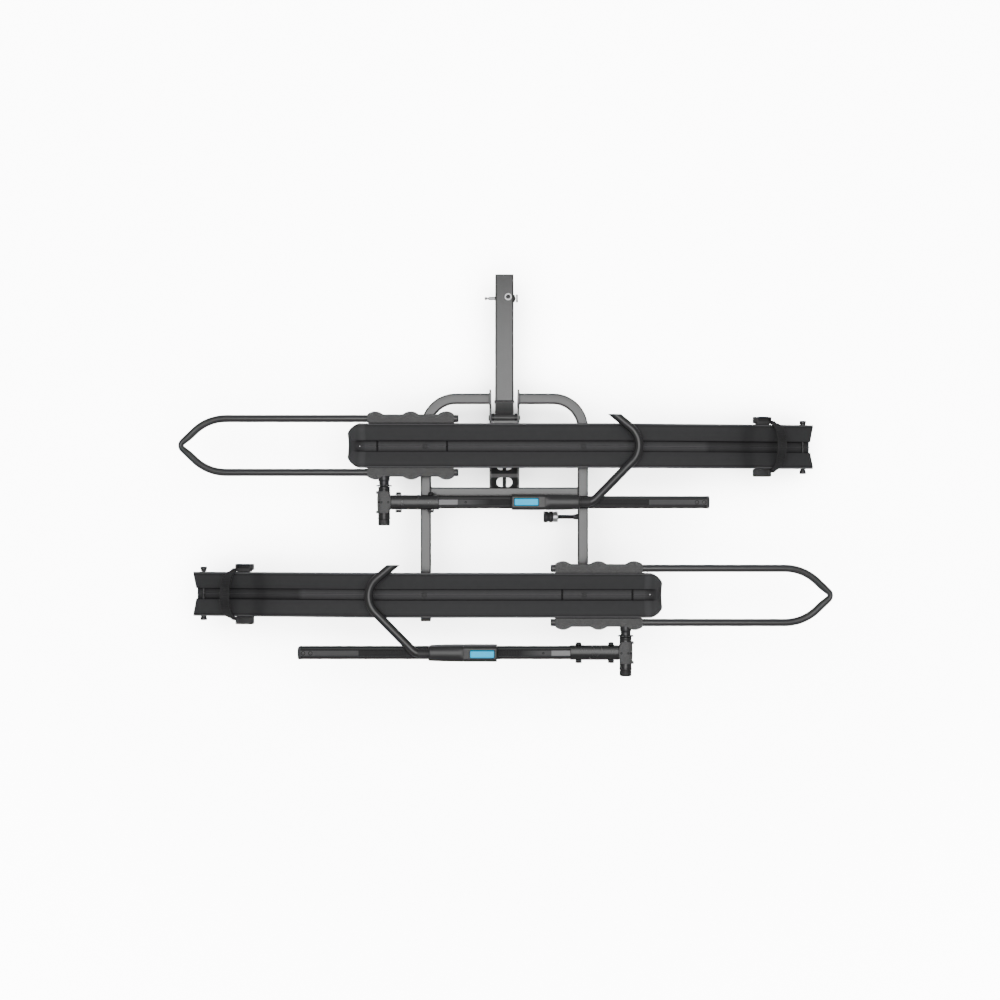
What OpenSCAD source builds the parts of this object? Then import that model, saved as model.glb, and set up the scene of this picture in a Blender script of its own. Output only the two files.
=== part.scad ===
// Hitch rack for two bicycles, in millimetres.
// +X points right across the car, +Y towards the car and +Z up.
// The origin is the middle of the tongue's top face, over the hitch bolt.
// The inner row is the one nearer the car. The outer row is its mirror image.

/* [Tongue] */
// Width of the square tongue
tongue_w = 50.8; // [48:0.1:52]
// Wall of the tongue
tongue_wall = 4.8; // [3:0.1:6]
// Outer corner radius of the tongue
tongue_corner = 5; // [4.9:0.1:8]
// Tongue in front of the hitch bolt
tongue_front = 62; // [45:1:90]
// Tongue behind the hitch bolt
tongue_back = 286; // [240:1:400]
// Bore through the bush that crosses the tongue
bush_bore = 12.8; // [10:0.1:14]
// Outer diameter of the bush
bush_d = 19; // [17:0.1:20]
// Distance of the bush from the tongue's middle
bush_x = 10.5; // [0:0.5:10.5]

/* [Hitch bolt and lock stud] */
// Diameter of the hitch bolt
bolt_d = 12; // [8:0.5:13]
// Hitch bolt's tip from the tongue's middle
bolt_tip_x = 21.5; // [21:0.1:23]
// Size of the hitch bolt's head across its flats
bolt_flats = 19; // [16:0.5:24]
// Height of the hitch bolt's head
bolt_head_h = 5.8; // [4:0.1:9]
// Bare shank between the boss and the head
bolt_neck = 2.3; // [1:0.1:6]
// Diameter of the welded bolt boss
boss_d = 20; // [17:0.5:26]
// Height of the welded bolt boss
boss_h = 4.1; // [2:0.1:8]
// Diameter of the lock stud
stud_d = 8.6; // [6:0.1:12]
// Length of the stud's plain shank
stud_len = 18.3; // [12:0.1:30]
// Diameter of the stud's neck
stud_neck_d = 5.6; // [4:0.1:5.8]
// Length of the stud's neck
stud_neck_len = 3; // [2:0.1:5]

/* [Tilt joint] */
// Tongue's end to the tilt axis
pivot_reach = 45.4; // [40:0.1:60]
// Tilt axis above the tongue's centre line
pivot_rise = 13.5; // [10:0.1:14]
// Diameter of the pivot barrel
barrel_d = 19; // [17:0.5:21]
// Diameter of the pivot bolt and of the lock pin
pin_d = 12; // [8:0.5:13]
// Radius of the lock pin's arc about the tilt axis
lock_r = 61; // [58:0.5:62]
// Direction of the lock pin from the tilt axis
lock_angle = 220; // [218:1:224]
// Diameter of the head's end round the lock pin
tail_d = 18; // [16:0.5:20]
// How far the frame tilts down from level
tilt_down = 20; // [0:1:20]
// How far the frame folds up from level
tilt_up = 90; // [60:1:90]
// Length of the clamp lever
lever_len = 84; // [60:1:120]
// Diameter of the clamp lever's hub
lever_hub_d = 20; // [16:0.5:20]
// Width of the clamp lever's hub along the pin
lever_w = 12; // [8:0.5:16]

/* [Frame] */
// Width of the square frame tube
tube_w = 28; // [26:0.5:30]
// Wall of the frame tube
tube_wall = 2; // [1.5:0.1:3]
// Outer corner radius of the frame tube
tube_corner = 4; // [3.2:0.1:6]
// Distance of each rail from the middle
rail_x = 217; // [190:1:240]
// Centre line radius of the rail bends
bend_r = 82.5; // [60:0.5:100]
// Tilt axis forward to the top tube
top_lead = 53.4; // [53:0.1:54]
// Tilt axis back to the cross tube
cross_back = 205.6; // [200:0.5:230]
// Tilt axis back to the rail ends
rail_back = 550; // [540:1:640]
// Thickness of the bracket's plates
plate_t = 5; // [4:0.1:6]
// Inner faces of the side plates from the middle
plate_in = 36.2; // [30:0.1:38]
// Radius of the plates' round nose
nose_r = 77.7; // [74:0.1:80]
// Gap round the pivot barrel and the lock pin's slot
joint_gap = 0.4; // [0.3:0.05:0.6]
// Width of the openings in the web
web_hole_w = 44; // [30:0.5:50]
// Length of the openings in the web
web_hole_len = 26; // [15:0.5:26]
// Strip between the two halves of an opening
web_strip = 10; // [6:0.5:14]
// Thickness of the rail plugs' flange
plug_t = 11.6; // [4:0.1:16]

/* [Cable lock] */
// Tilt axis back to the cable lock
lock_back = 273; // [250:1:300]
// Diameter of the ferrule on the rail
ferrule_d = 13; // [10:0.5:20]
// Length of the ferrule
ferrule_len = 10; // [5:0.5:16]
// Diameter of the lock's stem
stem_d = 9.4; // [6:0.1:12]
// Length of the lock's stem
stem_len = 45; // [30:1:70]
// Diameter of the bright collar
collar_d = 25; // [18:0.5:28]
// Length of the bright collar
collar_len = 14; // [8:0.5:20]
// Diameter of the lock's knob
knob_d = 27; // [20:0.5:28]
// Length of the lock's knob
knob_len = 25; // [14:0.5:34]

/* [Trays] */
// Width of a tray
tray_w = 121.6; // [112:0.1:124]
// Tilt axis back to the inner tray
inner_back = 79.6; // [79:0.1:82]
// Distance between the trays
tray_pitch = 405; // [390:1:440]
// Height of the saddles under the inner tray
saddle_h = 19; // [16:0.5:26]
// Length of the saddles and risers along the rails
saddle_len = 48; // [36:1:60]
// How much higher the outer tray stands
tray_step = 25; // [10:1:50]
// Thickness of the tray's sheet
tray_sheet = 2.5; // [2:0.1:3]
// Width of the lips
lip_w = 7; // [5:0.1:9]
// Thickness of the lips
lip_t = 5; // [4:0.1:7]
// Width of the channel in the middle
channel_w = 29; // [24:0.5:34]
// Depth of the channel
channel_h = 12; // [8:0.5:14]
// Height from the channel's shoulders to the lips
wing_h = 21; // [17:0.5:24]
// Middle of the rack to the tray's hoop end
tray_front = 425; // [400:1:450]
// Corner radius of the tray's hoop end
tray_round = 40; // [20:1:50]
// Middle of the rack to the tray's bend
tray_bend = 320; // [290:1:340]
// Length of the tray's sloping part
slope_len = 535; // [520:1:560]
// Angle of the sloping part
slope = 7.25; // [4:0.25:10]
// Hole near the tray's hoop end
drain_d = 6; // [3:0.5:10]
// Drain hole to the tray's hoop end
drain_in = 29; // [12:1:40]
// Diameter of the tray bolts
tray_bolt_d = 8; // [6:0.5:10]

/* [Hoops] */
// Diameter of the hoop tube
hoop_d = 19; // [15:0.5:20]
// Wall of the hoop tube
hoop_wall = 1.6; // [1.2:0.1:3]
// Half the distance between a hoop's legs
hoop_half = 73; // [72:0.5:76]
// Middle of the rack to the legs' ends
leg_end = 127.6; // [110:0.1:132]
// Middle of the rack to the start of the hoop's bend
leg_bend = 758; // [700:1:800]
// Angle of the hoop's slanted sides
hoop_angle = 39; // [36:0.5:44]
// Centre line radius of the bends where the legs turn in
hoop_bend_r = 130; // [100:1:140]
// Centre line radius of the hoop's tip
hoop_tip_r = 32; // [20:1:40]
// Height of the hoop above the tray's underside
hoop_z = 33; // [30:0.5:36]
// Middle of the rack to the clamp's near end
clamp_near = 136.5; // [134:0.5:140]
// Length of the hoop clamps
clamp_len = 234.5; // [225:0.5:250]
// Distance between the clamps' bolts
lobe_pitch = 96; // [80:0.5:96]
// Length of each bolt lobe
lobe_len = 43; // [30:0.5:46]
// How far the lobes stand out
lobe_out = 8.2; // [6.5:0.1:12]
// Height of the hoop clamps
clamp_h = 32; // [28:0.5:34]
// Diameter of the clamps' bolts
clamp_bolt_d = 6; // [5:0.5:6]

/* [Arms] */
// Middle of the rack to the arm's hinge
hinge_x = 326.5; // [320:0.5:330]
// Height of the hinge above the tray's underside
hinge_z = 30; // [28:0.5:32]
// Tray's middle to the arm's middle
arm_y = 153.9; // [153:0.1:160]
// Diameter of the spindle's stop flange
flange_d = 42; // [36:0.5:44]
// Diameter of the hinge spindle
spindle_d = 23.7; // [18:0.1:24]
// Running clearance of the hinge on radius
hinge_gap = 0.08; // [0.02:0.01:0.1]
// Outer diameter of the hinge sleeve
sleeve_d = 32.5; // [28:0.1:34]
// Length of the hinge sleeve
sleeve_len = 87.5; // [80:0.5:95]
// Length of the hinge sleeve's cap
cap_len = 18; // [10:0.5:24]
// Width of the square arm
arm_w = 33.6; // [30:0.1:35]
// Wall of the arm
arm_wall = 2.5; // [2:0.1:3.5]
// Hinge to the arm's far end
arm_len = 877; // [860:1:940]
// Hinge to the near end of the arm's socket
socket_near = 19.3; // [18.5:0.1:24]
// Length of the arm's socket
socket_len = 122.4; // [100:0.1:130]
// Width of the toothed strip's housing
strip_w = 14; // [10:0.5:18]
// Hinge to the start of the strip
strip_near = 150; // [145:1:160]
// Hinge to the first tooth
teeth_near = 286; // [270:1:300]
// Distance between the teeth
tooth_pitch = 7.2; // [6:0.1:12]
// Number of teeth
tooth_count = 60; // [40:1:70]

/* [Sliders and hooks] */
// Hinge to the slider's near end
slider_near = 346; // [340:1:352]
// Length of the slider
slider_len = 178; // [160:1:190]
// Width of the slider
slider_w = 42; // [41:0.1:46]
// Gap between the slider and the arm
slider_gap = 0.3; // [0.2:0.05:0.5]
// Length of the release button
button_len = 68; // [50:1:70]
// Width of the release button
button_w = 22; // [14:0.5:24]
// How far the button stands up
button_up = 5; // [4.5:0.1:8]
// How far the button moves down
button_travel = 4; // [2:0.1:4]
// Diameter of the hook
hook_d = 22; // [18:0.5:23]
// Hinge to the hook's first bend
hook_start = 563; // [555:1:575]
// Angle of the hook's long side
hook_angle = 45.5; // [40:0.5:50]
// Tray's middle past which the hook's corner lies
hook_over = 4.2; // [0:0.1:10]
// Centre line radius of the hook's big bend
hook_r = 62; // [50:1:66]
// Angle that the hook's end turns back through
hook_turn = 95; // [90:1:100]
// Tray's middle to the hook's end
hook_end = 82.7; // [70:0.1:90]

/* [Wheel straps] */
// Tray's strap end to the middle of the ratchet block
ratchet_in = 143; // [120:1:180]
// Width of the strap
strap_w = 26; // [18:0.5:30]
// Thickness of the strap
strap_t = 3; // [2:0.1:4]
// Height of the strap's arch above the lips
strap_rise = 57; // [48:1:62]
// Length of the ratchet block
ratchet_len = 48; // [36:1:56]
// Width of the ratchet block
ratchet_w = 22; // [16:0.5:26]
// Height of the ratchet block
ratchet_h = 22; // [16:0.5:26]
// Ratchet lever's length beyond its pin
ratchet_lever_len = 14; // [10:1:20]
// Tray's strap end to the cross rod
rod_in = 20; // [16:1:60]
// Diameter of the cross rod
rod_d = 6; // [4:0.5:8]
// Diameter of the cross rod's ends
rod_end_d = 16; // [10:0.5:18]
// Length of the cross rod's ends
rod_end_len = 11; // [6:0.5:16]

/* [Hidden] */
$fn = 48;

// Heights and places of the main lines
axis_z = -tongue_w / 2;
tube_top_z = axis_z + tube_w / 2;
pivot_y = -tongue_back - pivot_reach;
pivot_z = axis_z + pivot_rise;
top_y = pivot_y + top_lead;
cross_y = pivot_y - cross_back;
rail_end_y = pivot_y - rail_back;
plate_out = plate_in + plate_t;
rows = [0, 1];
row_y = [pivot_y - inner_back, pivot_y - inner_back - tray_pitch];
row_z = [tube_top_z + saddle_h, tube_top_z + saddle_h + tray_step];
fit = 0.15;
bend_lap = 0.8;
bend_seam = 0.05;

// Tray section
tray_half = tray_w / 2;
channel_half = channel_w / 2;
lip_z = channel_h + wing_h;
wing_out = tray_half - lip_w;

// Tilt head and plates, measured from the tilt axis
head_top = tongue_w / 2 - pivot_rise;
head_bottom = -tongue_w / 2 - pivot_rise;
lock_dy = lock_r * cos(lock_angle);
lock_dz = lock_r * sin(lock_angle);
tube_dz = tube_w / 2 - pivot_rise;
pin_slot_r = pin_d / 2 + joint_gap;
pivot_head_h = 3;
seat_dz = tube_dz + saddle_h;
web_top_dz = tube_dz;
web_start = -48;
tie_dy = -15.5;
tie_dz = 8;
stud_root_d = stud_d - 1;
hex_ratio = 1 / cos(30);

// Arm parts, measured from the hinge axis
strip_rise = 0.8;
strip_depth = 3;
strip_len = arm_len - 4 - strip_near;
socket_w = arm_w + 5.4;
slider_in_h = arm_w / 2 + slider_gap;
hook_z = arm_w / 2 + strip_rise + 2 + hook_d / 2;
slider_top = hook_z + hook_d / 2 + 2.5;
slider_bottom = -arm_w / 2 - slider_gap - 4;
button_near = slider_near + 4;
button_z = slider_top - 10;
lobe_x = [for (i = [-1, 0, 1]) -clamp_near - clamp_len / 2 + i * lobe_pitch];
clamp_y = tray_half + fit;
clamp_w = hoop_half + hoop_d / 2 + 1.5 - clamp_y;
clamp_z = hinge_z - clamp_h / 2;
clamp_side = clamp_y + clamp_w + lobe_out;
lobe_r = lobe_len * lobe_len / (8 * lobe_out) + lobe_out / 2;
ratchet_x = slope_len - ratchet_in;
rod_x = slope_len - rod_in;
strap_near = ratchet_x + ratchet_len / 2 + joint_gap;
strap_seat = 4;
strap_tab_x = ratchet_x + ratchet_len / 2 - strap_seat;
lever_pin_out = 8;
lever_pin_below = 5;
clamp_bolt_y = hoop_half + hoop_d / 2 + clamp_bolt_d / 2 + 2 * fit;
tray_drop = slope_len * sin(slope) + tray_sheet;
plate_end = cross_back - tube_w / 2;
flange_y = 107.1;
sleeve_y = 112.3;

// Square with rounded corners, centred
module rounded_square(w, r) {
    square([w, w - 2 * r], center = true);
    square([w - 2 * r, w], center = true);
    for (x = [-1, 1], y = [-1, 1])
        translate([x * (w / 2 - r), y * (w / 2 - r)]) circle(r);
}

// Section of a square tube
module tube_section(w, wall, r) {
    difference() {
        rounded_square(w, r);
        rounded_square(w - 2 * wall, r - wall / 2);
    }
}

// Extrudes a section backwards from y, with section x along X and section y along Z
module back_from(y, len) {
    translate([0, y, 0]) rotate([90, 0, 0]) linear_extrude(len) children();
}

// Extrudes a section to the right from x, with section x along Y and section y along Z
module right_from(x, len) {
    translate([x, 0, 0]) rotate([90, 0, 90]) linear_extrude(len) children();
}

// Cylinder along X from x
module rod_x_from(x, len, d, fn = 48) {
    translate([x, 0, 0]) rotate([0, 90, 0]) cylinder(d = d, h = len, $fn = fn);
}

// Straight run of a bent tube. It laps into the bends at its ends and is a hair thinner there.
module bend_run(x, len, d) {
    rod_x_from(x - bend_lap, len + 2 * bend_lap, d - bend_seam);
}

// Cylinder along Y, backwards from y
module rod_y_back(y, len, d, fn = 48) {
    translate([0, y, 0]) rotate([90, 0, 0]) cylinder(d = d, h = len, $fn = fn);
}

// Places a row's piece: local x away from the hoop, y towards the car and z from the tray's underside
module in_row(i) {
    translate([0, row_y[i], row_z[i]]) mirror([i, 0, 0]) children();
}

// Places a piece on the tray's sloping part, with x along the slope from the bend
module on_slope() {
    translate([tray_bend, 0, 0]) rotate([0, slope, 0]) children();
}

// Places a piece on the arm: x along the arm from the hinge and z from the hinge axis
module on_arm() {
    translate([-hinge_x, -arm_y, hinge_z]) children();
}

// Places a piece on the tilt axis
module on_pivot() {
    translate([0, pivot_y, pivot_z]) children();
}

// Tongue and what is fixed to it
module tongue() {
    color("silver") difference() {
        translate([0, 0, axis_z]) back_from(tongue_front, tongue_front + tongue_back)
            tube_section(tongue_w, tongue_wall, tongue_corner);
        translate([bush_x, 0, -tongue_w - 1]) cylinder(d = bush_d, h = tongue_w + 2);
        translate([0, 0, axis_z]) rod_x_from(bolt_tip_x - 2, tongue_w, bolt_d + 2 * fit);
        translate([0, 0, axis_z]) rod_x_from(-tongue_w, tongue_w, stud_root_d + fit);
    }
}

module cross_bush() {
    color("gainsboro") translate([bush_x, 0, -tongue_w]) difference() {
        cylinder(d = bush_d, h = tongue_w);
        translate([0, 0, -1]) cylinder(d = bush_bore, h = tongue_w + 2);
    }
}

module bolt_boss() {
    color("silver") translate([0, 0, axis_z]) difference() {
        rod_x_from(tongue_w / 2, boss_h, boss_d);
        rod_x_from(tongue_w / 2 - 1, boss_h + 2, bolt_d + 2 * fit);
    }
}

module lock_stud() {
    color("silver") translate([0, 0, axis_z]) mirror([1, 0, 0]) {
        rod_x_from(tongue_w / 2 - tongue_wall, tongue_wall + 1, stud_root_d);
        rod_x_from(tongue_w / 2, stud_len, stud_d);
        rod_x_from(tongue_w / 2, stud_len + stud_neck_len + stud_d / 2, stud_neck_d);
        translate([tongue_w / 2 + stud_len + stud_neck_len + stud_d / 2, 0, 0])
            sphere(d = stud_d);
    }
}

// Pivot barrel, sloping head and the tail that carries the lock pin
module tilt_head() {
    color([0.16, 0.16, 0.17]) on_pivot() difference() {
        union() {
            right_from(-tongue_w / 2, tongue_w) {
                polygon([
                    [pivot_reach, head_top], [pivot_reach - 4, head_top], [barrel_d * 0.3, -barrel_d * 0.45],
                    [-barrel_d * 0.3, barrel_d * 0.39], [lock_dy - tail_d * 0.32, lock_dz + tail_d * 0.38],
                    [lock_dy, lock_dz - tail_d / 2], [pivot_reach, head_bottom]
                ]);
                translate([lock_dy, lock_dz]) circle(d = tail_d);
            }
            rod_x_from(-plate_in + joint_gap, 2 * (plate_in - joint_gap), barrel_d);
        }
        rod_x_from(-plate_out, 2 * plate_out, pin_d + 2 * hinge_gap);
        translate([0, lock_dy, lock_dz]) rod_x_from(-plate_out, 2 * plate_out, pin_d);
    }
}

module tilt_pin() {
    color("dimgray") on_pivot() translate([0, lock_dy, lock_dz]) {
        rod_x_from(-plate_out - 1, 2 * plate_out + lever_w + 3, pin_d);
        rod_x_from(-plate_out - 6, 5, pin_d * 1.5);
    }
}

module tilt_lever() {
    color([0.14, 0.14, 0.15]) on_pivot() translate([plate_out + 1, lock_dy, lock_dz]) difference() {
        union() {
            rod_x_from(0, lever_w, lever_hub_d);
            right_from(2, lever_w - 4) {
                translate([-lever_len, -6]) square([lever_len, 12]);
                translate([-lever_len, 0]) circle(d = 12);
            }
        }
        rod_x_from(-1, lever_w + 2, pin_d + 2 * hinge_gap);
    }
}

module hitch_bolt() {
    color("silver") translate([0, 0, axis_z]) {
        rod_x_from(bolt_tip_x, tongue_w / 2 + boss_h + bolt_neck + 1 - bolt_tip_x, bolt_d);
        rod_x_from(tongue_w / 2 + boss_h + bolt_neck, bolt_head_h, bolt_flats * hex_ratio, 6);
    }
}

// Side plate's outline, measured from the tilt axis
module plate_outline() {
    intersection() {
        circle(nose_r, $fn = 96);
        translate([-nose_r, -nose_r]) square([2 * nose_r, nose_r + tube_dz + 2]);
    }
    polygon([
        [nose_r - 10, tube_dz + 2], [pivot_reach - 8, tube_dz + 2], [25, 13], [-9, 13],
        [-15, seat_dz], [-inner_back - tray_half - 4, seat_dz], [-inner_back - tray_half - 7, 6],
        [-plate_end + 21.6, 6], [-plate_end + 5.6, tube_dz], [-plate_end, tube_dz],
        [-plate_end, tube_dz - tube_w], [-25, -nose_r + 4.2], [0, -nose_r + 4]
    ]);
}

// Arc slot that the lock pin runs in
module slot_outline() {
    from = lock_angle - tilt_down;
    to = lock_angle + tilt_up;
    intersection() {
        difference() {
            circle(lock_r + pin_slot_r, $fn = 96);
            circle(lock_r - pin_slot_r, $fn = 96);
        }
        polygon(concat([[0, 0]], [for (a = [from:(to - from) / 11:to + 0.1]) 2 * nose_r * [cos(a), sin(a)]]));
    }
    for (a = [from, to]) translate(lock_r * [cos(a), sin(a)]) circle(pin_slot_r);
}

// Two half-round openings with a strip between them
module web_opening(y) {
    r = web_hole_len / 2;
    translate([0, y]) difference() {
        union() {
            square([web_hole_w - 2 * r, web_hole_len], center = true);
            for (s = [-1, 1]) translate([s * (web_hole_w / 2 - r), 0]) circle(r);
        }
        square([web_strip, web_hole_len + 2], center = true);
    }
}

module bracket() {
    web_len = cross_back - tube_w / 2 + web_start;
    front_hole = -inner_back - tray_half + 9;
    color("silver") on_pivot() {
        for (x = [-plate_out, plate_in]) right_from(x, plate_t) difference() {
            plate_outline();
            slot_outline();
            circle(d = pin_d + fit);
        }
        translate([-plate_in, tie_dy, tie_dz]) cube([2 * plate_in, 6.5, plate_t]);
        translate([0, 0, web_top_dz - plate_t]) linear_extrude(plate_t) difference() {
            translate([-plate_in, web_start - web_len]) square([2 * plate_in, web_len]);
            web_opening(front_hole);
            web_opening(front_hole - web_hole_len - 20);
        }
    }
}

// Sweep of a right rail's section from the plate round the bend to the back
module rail_sweep(w, r, extra) {
    translate([0, top_y, axis_z]) right_from(plate_out - extra, rail_x - bend_r - plate_out + extra)
        rounded_square(w, r);
    translate([rail_x - bend_r, top_y - bend_r, axis_z]) rotate_extrude(angle = 90, $fn = 96)
        translate([bend_r, 0]) rounded_square(w, r);
    translate([rail_x, 0, axis_z]) back_from(top_y - bend_r, top_y - bend_r - rail_end_y + extra)
        rounded_square(w, r);
}

module rail() {
    difference() {
        rail_sweep(tube_w, tube_corner, 0);
        rail_sweep(tube_w - 2 * tube_wall, tube_corner - tube_wall / 2, 1);
        for (i = rows) translate([rail_x, row_y[i], axis_z]) cylinder(d = tray_bolt_d + 2 * fit, h = tube_w);
    }
}

module left_rail() {
    color("silver") mirror([1, 0, 0]) rail();
}

module right_rail() {
    color("silver") rail();
}

module cross_tube() {
    len = 2 * rail_x - tube_w;
    color("silver") translate([0, cross_y, axis_z]) right_from(-len / 2, len)
        tube_section(tube_w, tube_wall, tube_corner);
}

module rail_plugs() {
    color([0.1, 0.1, 0.1]) for (s = [-1, 1]) translate([s * rail_x, 0, axis_z]) {
        back_from(rail_end_y, plug_t) rounded_square(tube_w, tube_corner);
        back_from(rail_end_y + 15, 15.5) rounded_square(tube_w - 2 * tube_wall - 2 * fit, tube_corner - tube_wall / 2);
    }
}

module pivot_bolt() {
    color("dimgray") on_pivot() {
        rod_x_from(-plate_out - 1, 2 * plate_out + 2, pin_d);
        for (x = [-plate_out - pivot_head_h, plate_out]) rod_x_from(x, pivot_head_h, 18 * hex_ratio, 6);
    }
}

// Cable lock on the right rail, pointing to the middle
module at_lock(x) {
    translate([rail_x - tube_w / 2 - x, pivot_y - lock_back, axis_z]) mirror([1, 0, 0]) children();
}

module lock_ferrule() {
    color([0.12, 0.12, 0.12]) at_lock(0) rod_x_from(0, ferrule_len, ferrule_d);
}

module lock_stem() {
    color([0.1, 0.1, 0.1]) at_lock(ferrule_len) rod_x_from(0, stem_len, stem_d);
}

module lock_collar() {
    color("whitesmoke") at_lock(ferrule_len + stem_len) difference() {
        rod_x_from(0, collar_len, collar_d);
        rod_x_from(collar_len - 7, 8, stem_d + 2 * hinge_gap);
    }
}

module lock_knob() {
    color([0.15, 0.15, 0.16]) at_lock(ferrule_len + stem_len + collar_len + joint_gap) difference() {
        union() {
            rod_x_from(0, knob_len, knob_d);
            rod_x_from(-6, 7, stem_d);
        }
        translate([knob_len / 2 - 1, 0, 0]) difference() {
            rod_x_from(0, 2, knob_d + 2);
            rod_x_from(-1, 4, knob_d - 5);
        }
        translate([0, 0, 0]) right_from(knob_len - 3, 4) square([6, 2], center = true);
    }
}

// Right half of the tray's section, from the top of the middle rib round to the underside
function tray_half_points() = [
    [0, tray_sheet + 2], [1.6, tray_sheet + 2], [1.6, tray_sheet], [channel_half, tray_sheet],
    [channel_half, channel_h], [wing_out, lip_z], [tray_half - 1.5, lip_z], [tray_half, lip_z - 1.5],
    [tray_half, lip_z - lip_t], [wing_out, lip_z - lip_t], [wing_out, lip_z - tray_sheet * 1.15],
    [channel_half + tray_sheet, channel_h - tray_sheet], [channel_half + tray_sheet, 0], [0, 0]
];

// Whole section as one loop of [y, z] points
function tray_loop() = let (half = tray_half_points(), n = len(half))
    concat(half, [for (k = [n - 2:-1:1]) [-half[k][0], half[k][1]]]);

// Tray's body: the section's loop at its front end, at the mitred bend and at its rear end
module tray_body() {
    loop = tray_loop();
    n = len(loop);
    points = concat(
        [for (p = loop) [-tray_front - 5, p[0], p[1]]],
        [for (p = loop) [tray_bend + p[1] * tan(slope / 2), p[0], p[1]]],
        [for (p = loop) [
            tray_bend + slope_len * cos(slope) + p[1] * sin(slope), p[0],
            p[1] * cos(slope) - slope_len * sin(slope)
        ]]
    );
    sides = [for (r = [0, 1], k = [0:n - 1]) [
        r * n + k, r * n + (k + 1) % n, (r + 1) * n + (k + 1) % n, (r + 1) * n + k
    ]];
    polyhedron(points, concat(sides, [[for (k = [n - 1:-1:0]) k], [for (k = [0:n - 1]) 2 * n + k]]));
}

// Plan of the tray with its two rounded corners
module tray_plan() {
    far = tray_front + tray_bend + slope_len + 60;
    intersection() {
        translate([-tray_front, -tray_half - 1]) square([far, tray_w + 2]);
        union() {
            translate([-tray_front + tray_round, -tray_half - 1]) square([far, tray_w + 2]);
            translate([-tray_front - 1, -tray_half + tray_round]) square([far, tray_w - 2 * tray_round]);
            for (s = [-1, 1]) translate([-tray_front + tray_round, s * (tray_half - tray_round)])
                circle(tray_round + 2);
        }
    }
}

module tray(i) {
    color([0.24, 0.24, 0.25]) in_row(i) difference() {
        intersection() {
            tray_body();
            translate([0, 0, -tray_drop]) linear_extrude(tray_drop + 2 * lip_z) tray_plan();
        }
        for (s = [-1, 1]) translate([s * rail_x, 0, -1]) cylinder(d = tray_bolt_d + 2 * fit, h = lip_z);
        translate([-tray_front + drain_in, 0, -1]) cylinder(d = drain_d, h = lip_z);
        on_slope() translate([rod_x, 0, channel_h / 2 + 1]) rod_y_back(tray_half, tray_w, rod_d + 2 * fit);
    }
}

// Blocks between a tray and the rails
module supports(i, h) {
    for (s = [-1, 1]) translate([s * rail_x, row_y[i], tube_top_z]) difference() {
        translate([-tube_w / 2, -saddle_len / 2, 0]) cube([tube_w, saddle_len, h]);
        translate([0, 0, -1]) cylinder(d = tray_bolt_d + 2 * fit, h = h + 2);
    }
}

module inner_saddles() {
    color("dimgray") supports(0, saddle_h);
}

module outer_risers() {
    color("dimgray") supports(1, saddle_h + tray_step);
}

module tray_bolts() {
    color("gray") for (i = rows, s = [-1, 1]) translate([s * rail_x, row_y[i], 0]) {
        head_z = row_z[i] + tray_sheet + 2;
        translate([0, 0, tube_top_z - tube_wall - 5]) cylinder(d = tray_bolt_d, h = head_z - tube_top_z + tube_wall + 6);
        translate([0, 0, head_z]) cylinder(d = tray_bolt_d * 1.75, h = 4);
    }
}

// Stations along a hoop's centre line, as [x, y, direction square to the line]
function hoop_stations() = let (
    bend_y = hoop_half - hoop_bend_r,
    slant_end_y = hoop_tip_r * cos(hoop_angle),
    slant_len = (bend_y + hoop_bend_r * cos(hoop_angle) - slant_end_y) / sin(hoop_angle),
    tip_x = -leg_bend - (hoop_bend_r - hoop_tip_r) * sin(hoop_angle) - slant_len * cos(hoop_angle),
    turn = [for (k = [0:8]) 90 + hoop_angle * k / 8],
    tip = [for (k = [0:12]) 90 + hoop_angle + (180 - 2 * hoop_angle) * k / 12]
) concat(
    [[-leg_end, hoop_half, 90]],
    [for (a = turn) [-leg_bend + hoop_bend_r * cos(a), bend_y + hoop_bend_r * sin(a), a]],
    [for (a = tip) [tip_x + hoop_tip_r * cos(a), hoop_tip_r * sin(a), a]],
    [for (a = turn) let (b = a + 180 - hoop_angle)
        [-leg_bend + hoop_bend_r * cos(b), -bend_y + hoop_bend_r * sin(b), b]],
    [[-leg_end, -hoop_half, 270]]
);

// Hollow tube along the stations: an outer and an inner ring at each
module hoop_tube() {
    sides = 24;
    stations = hoop_stations();
    last = len(stations) - 1;
    points = [for (s = stations, r = [hoop_d / 2, hoop_d / 2 - hoop_wall], j = [0:sides - 1])
        let (out = r * cos(360 * j / sides)) [s[0] + out * cos(s[2]), s[1] + out * sin(s[2]), r * sin(360 * j / sides)]];
    function at(i, layer, j) = (2 * i + layer) * sides + j % sides;
    walls = [for (i = [0:last - 1], layer = [0, 1], j = [0:sides - 1]) layer == 0
        ? [at(i, 0, j), at(i + 1, 0, j), at(i + 1, 0, j + 1), at(i, 0, j + 1)]
        : [at(i, 1, j), at(i, 1, j + 1), at(i + 1, 1, j + 1), at(i + 1, 1, j)]];
    ends = [for (j = [0:sides - 1], i = [0, last]) i == 0
        ? [at(0, 0, j), at(0, 0, j + 1), at(0, 1, j + 1), at(0, 1, j)]
        : [at(last, 0, j), at(last, 1, j), at(last, 1, j + 1), at(last, 0, j + 1)]];
    polyhedron(points, concat(walls, ends));
}

module hoop(i) {
    color([0.33, 0.33, 0.34]) in_row(i) translate([0, 0, hoop_z]) hoop_tube();
}

module hoop_caps() {
    color([0.08, 0.08, 0.08]) for (i = rows) in_row(i) for (s = [-1, 1])
        translate([-leg_end, s * hoop_half, hoop_z]) {
            rod_x_from(0, 3, hoop_d);
            rod_x_from(-10, 11, hoop_d - 2 * hoop_wall - 2 * fit);
        }
}

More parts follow.
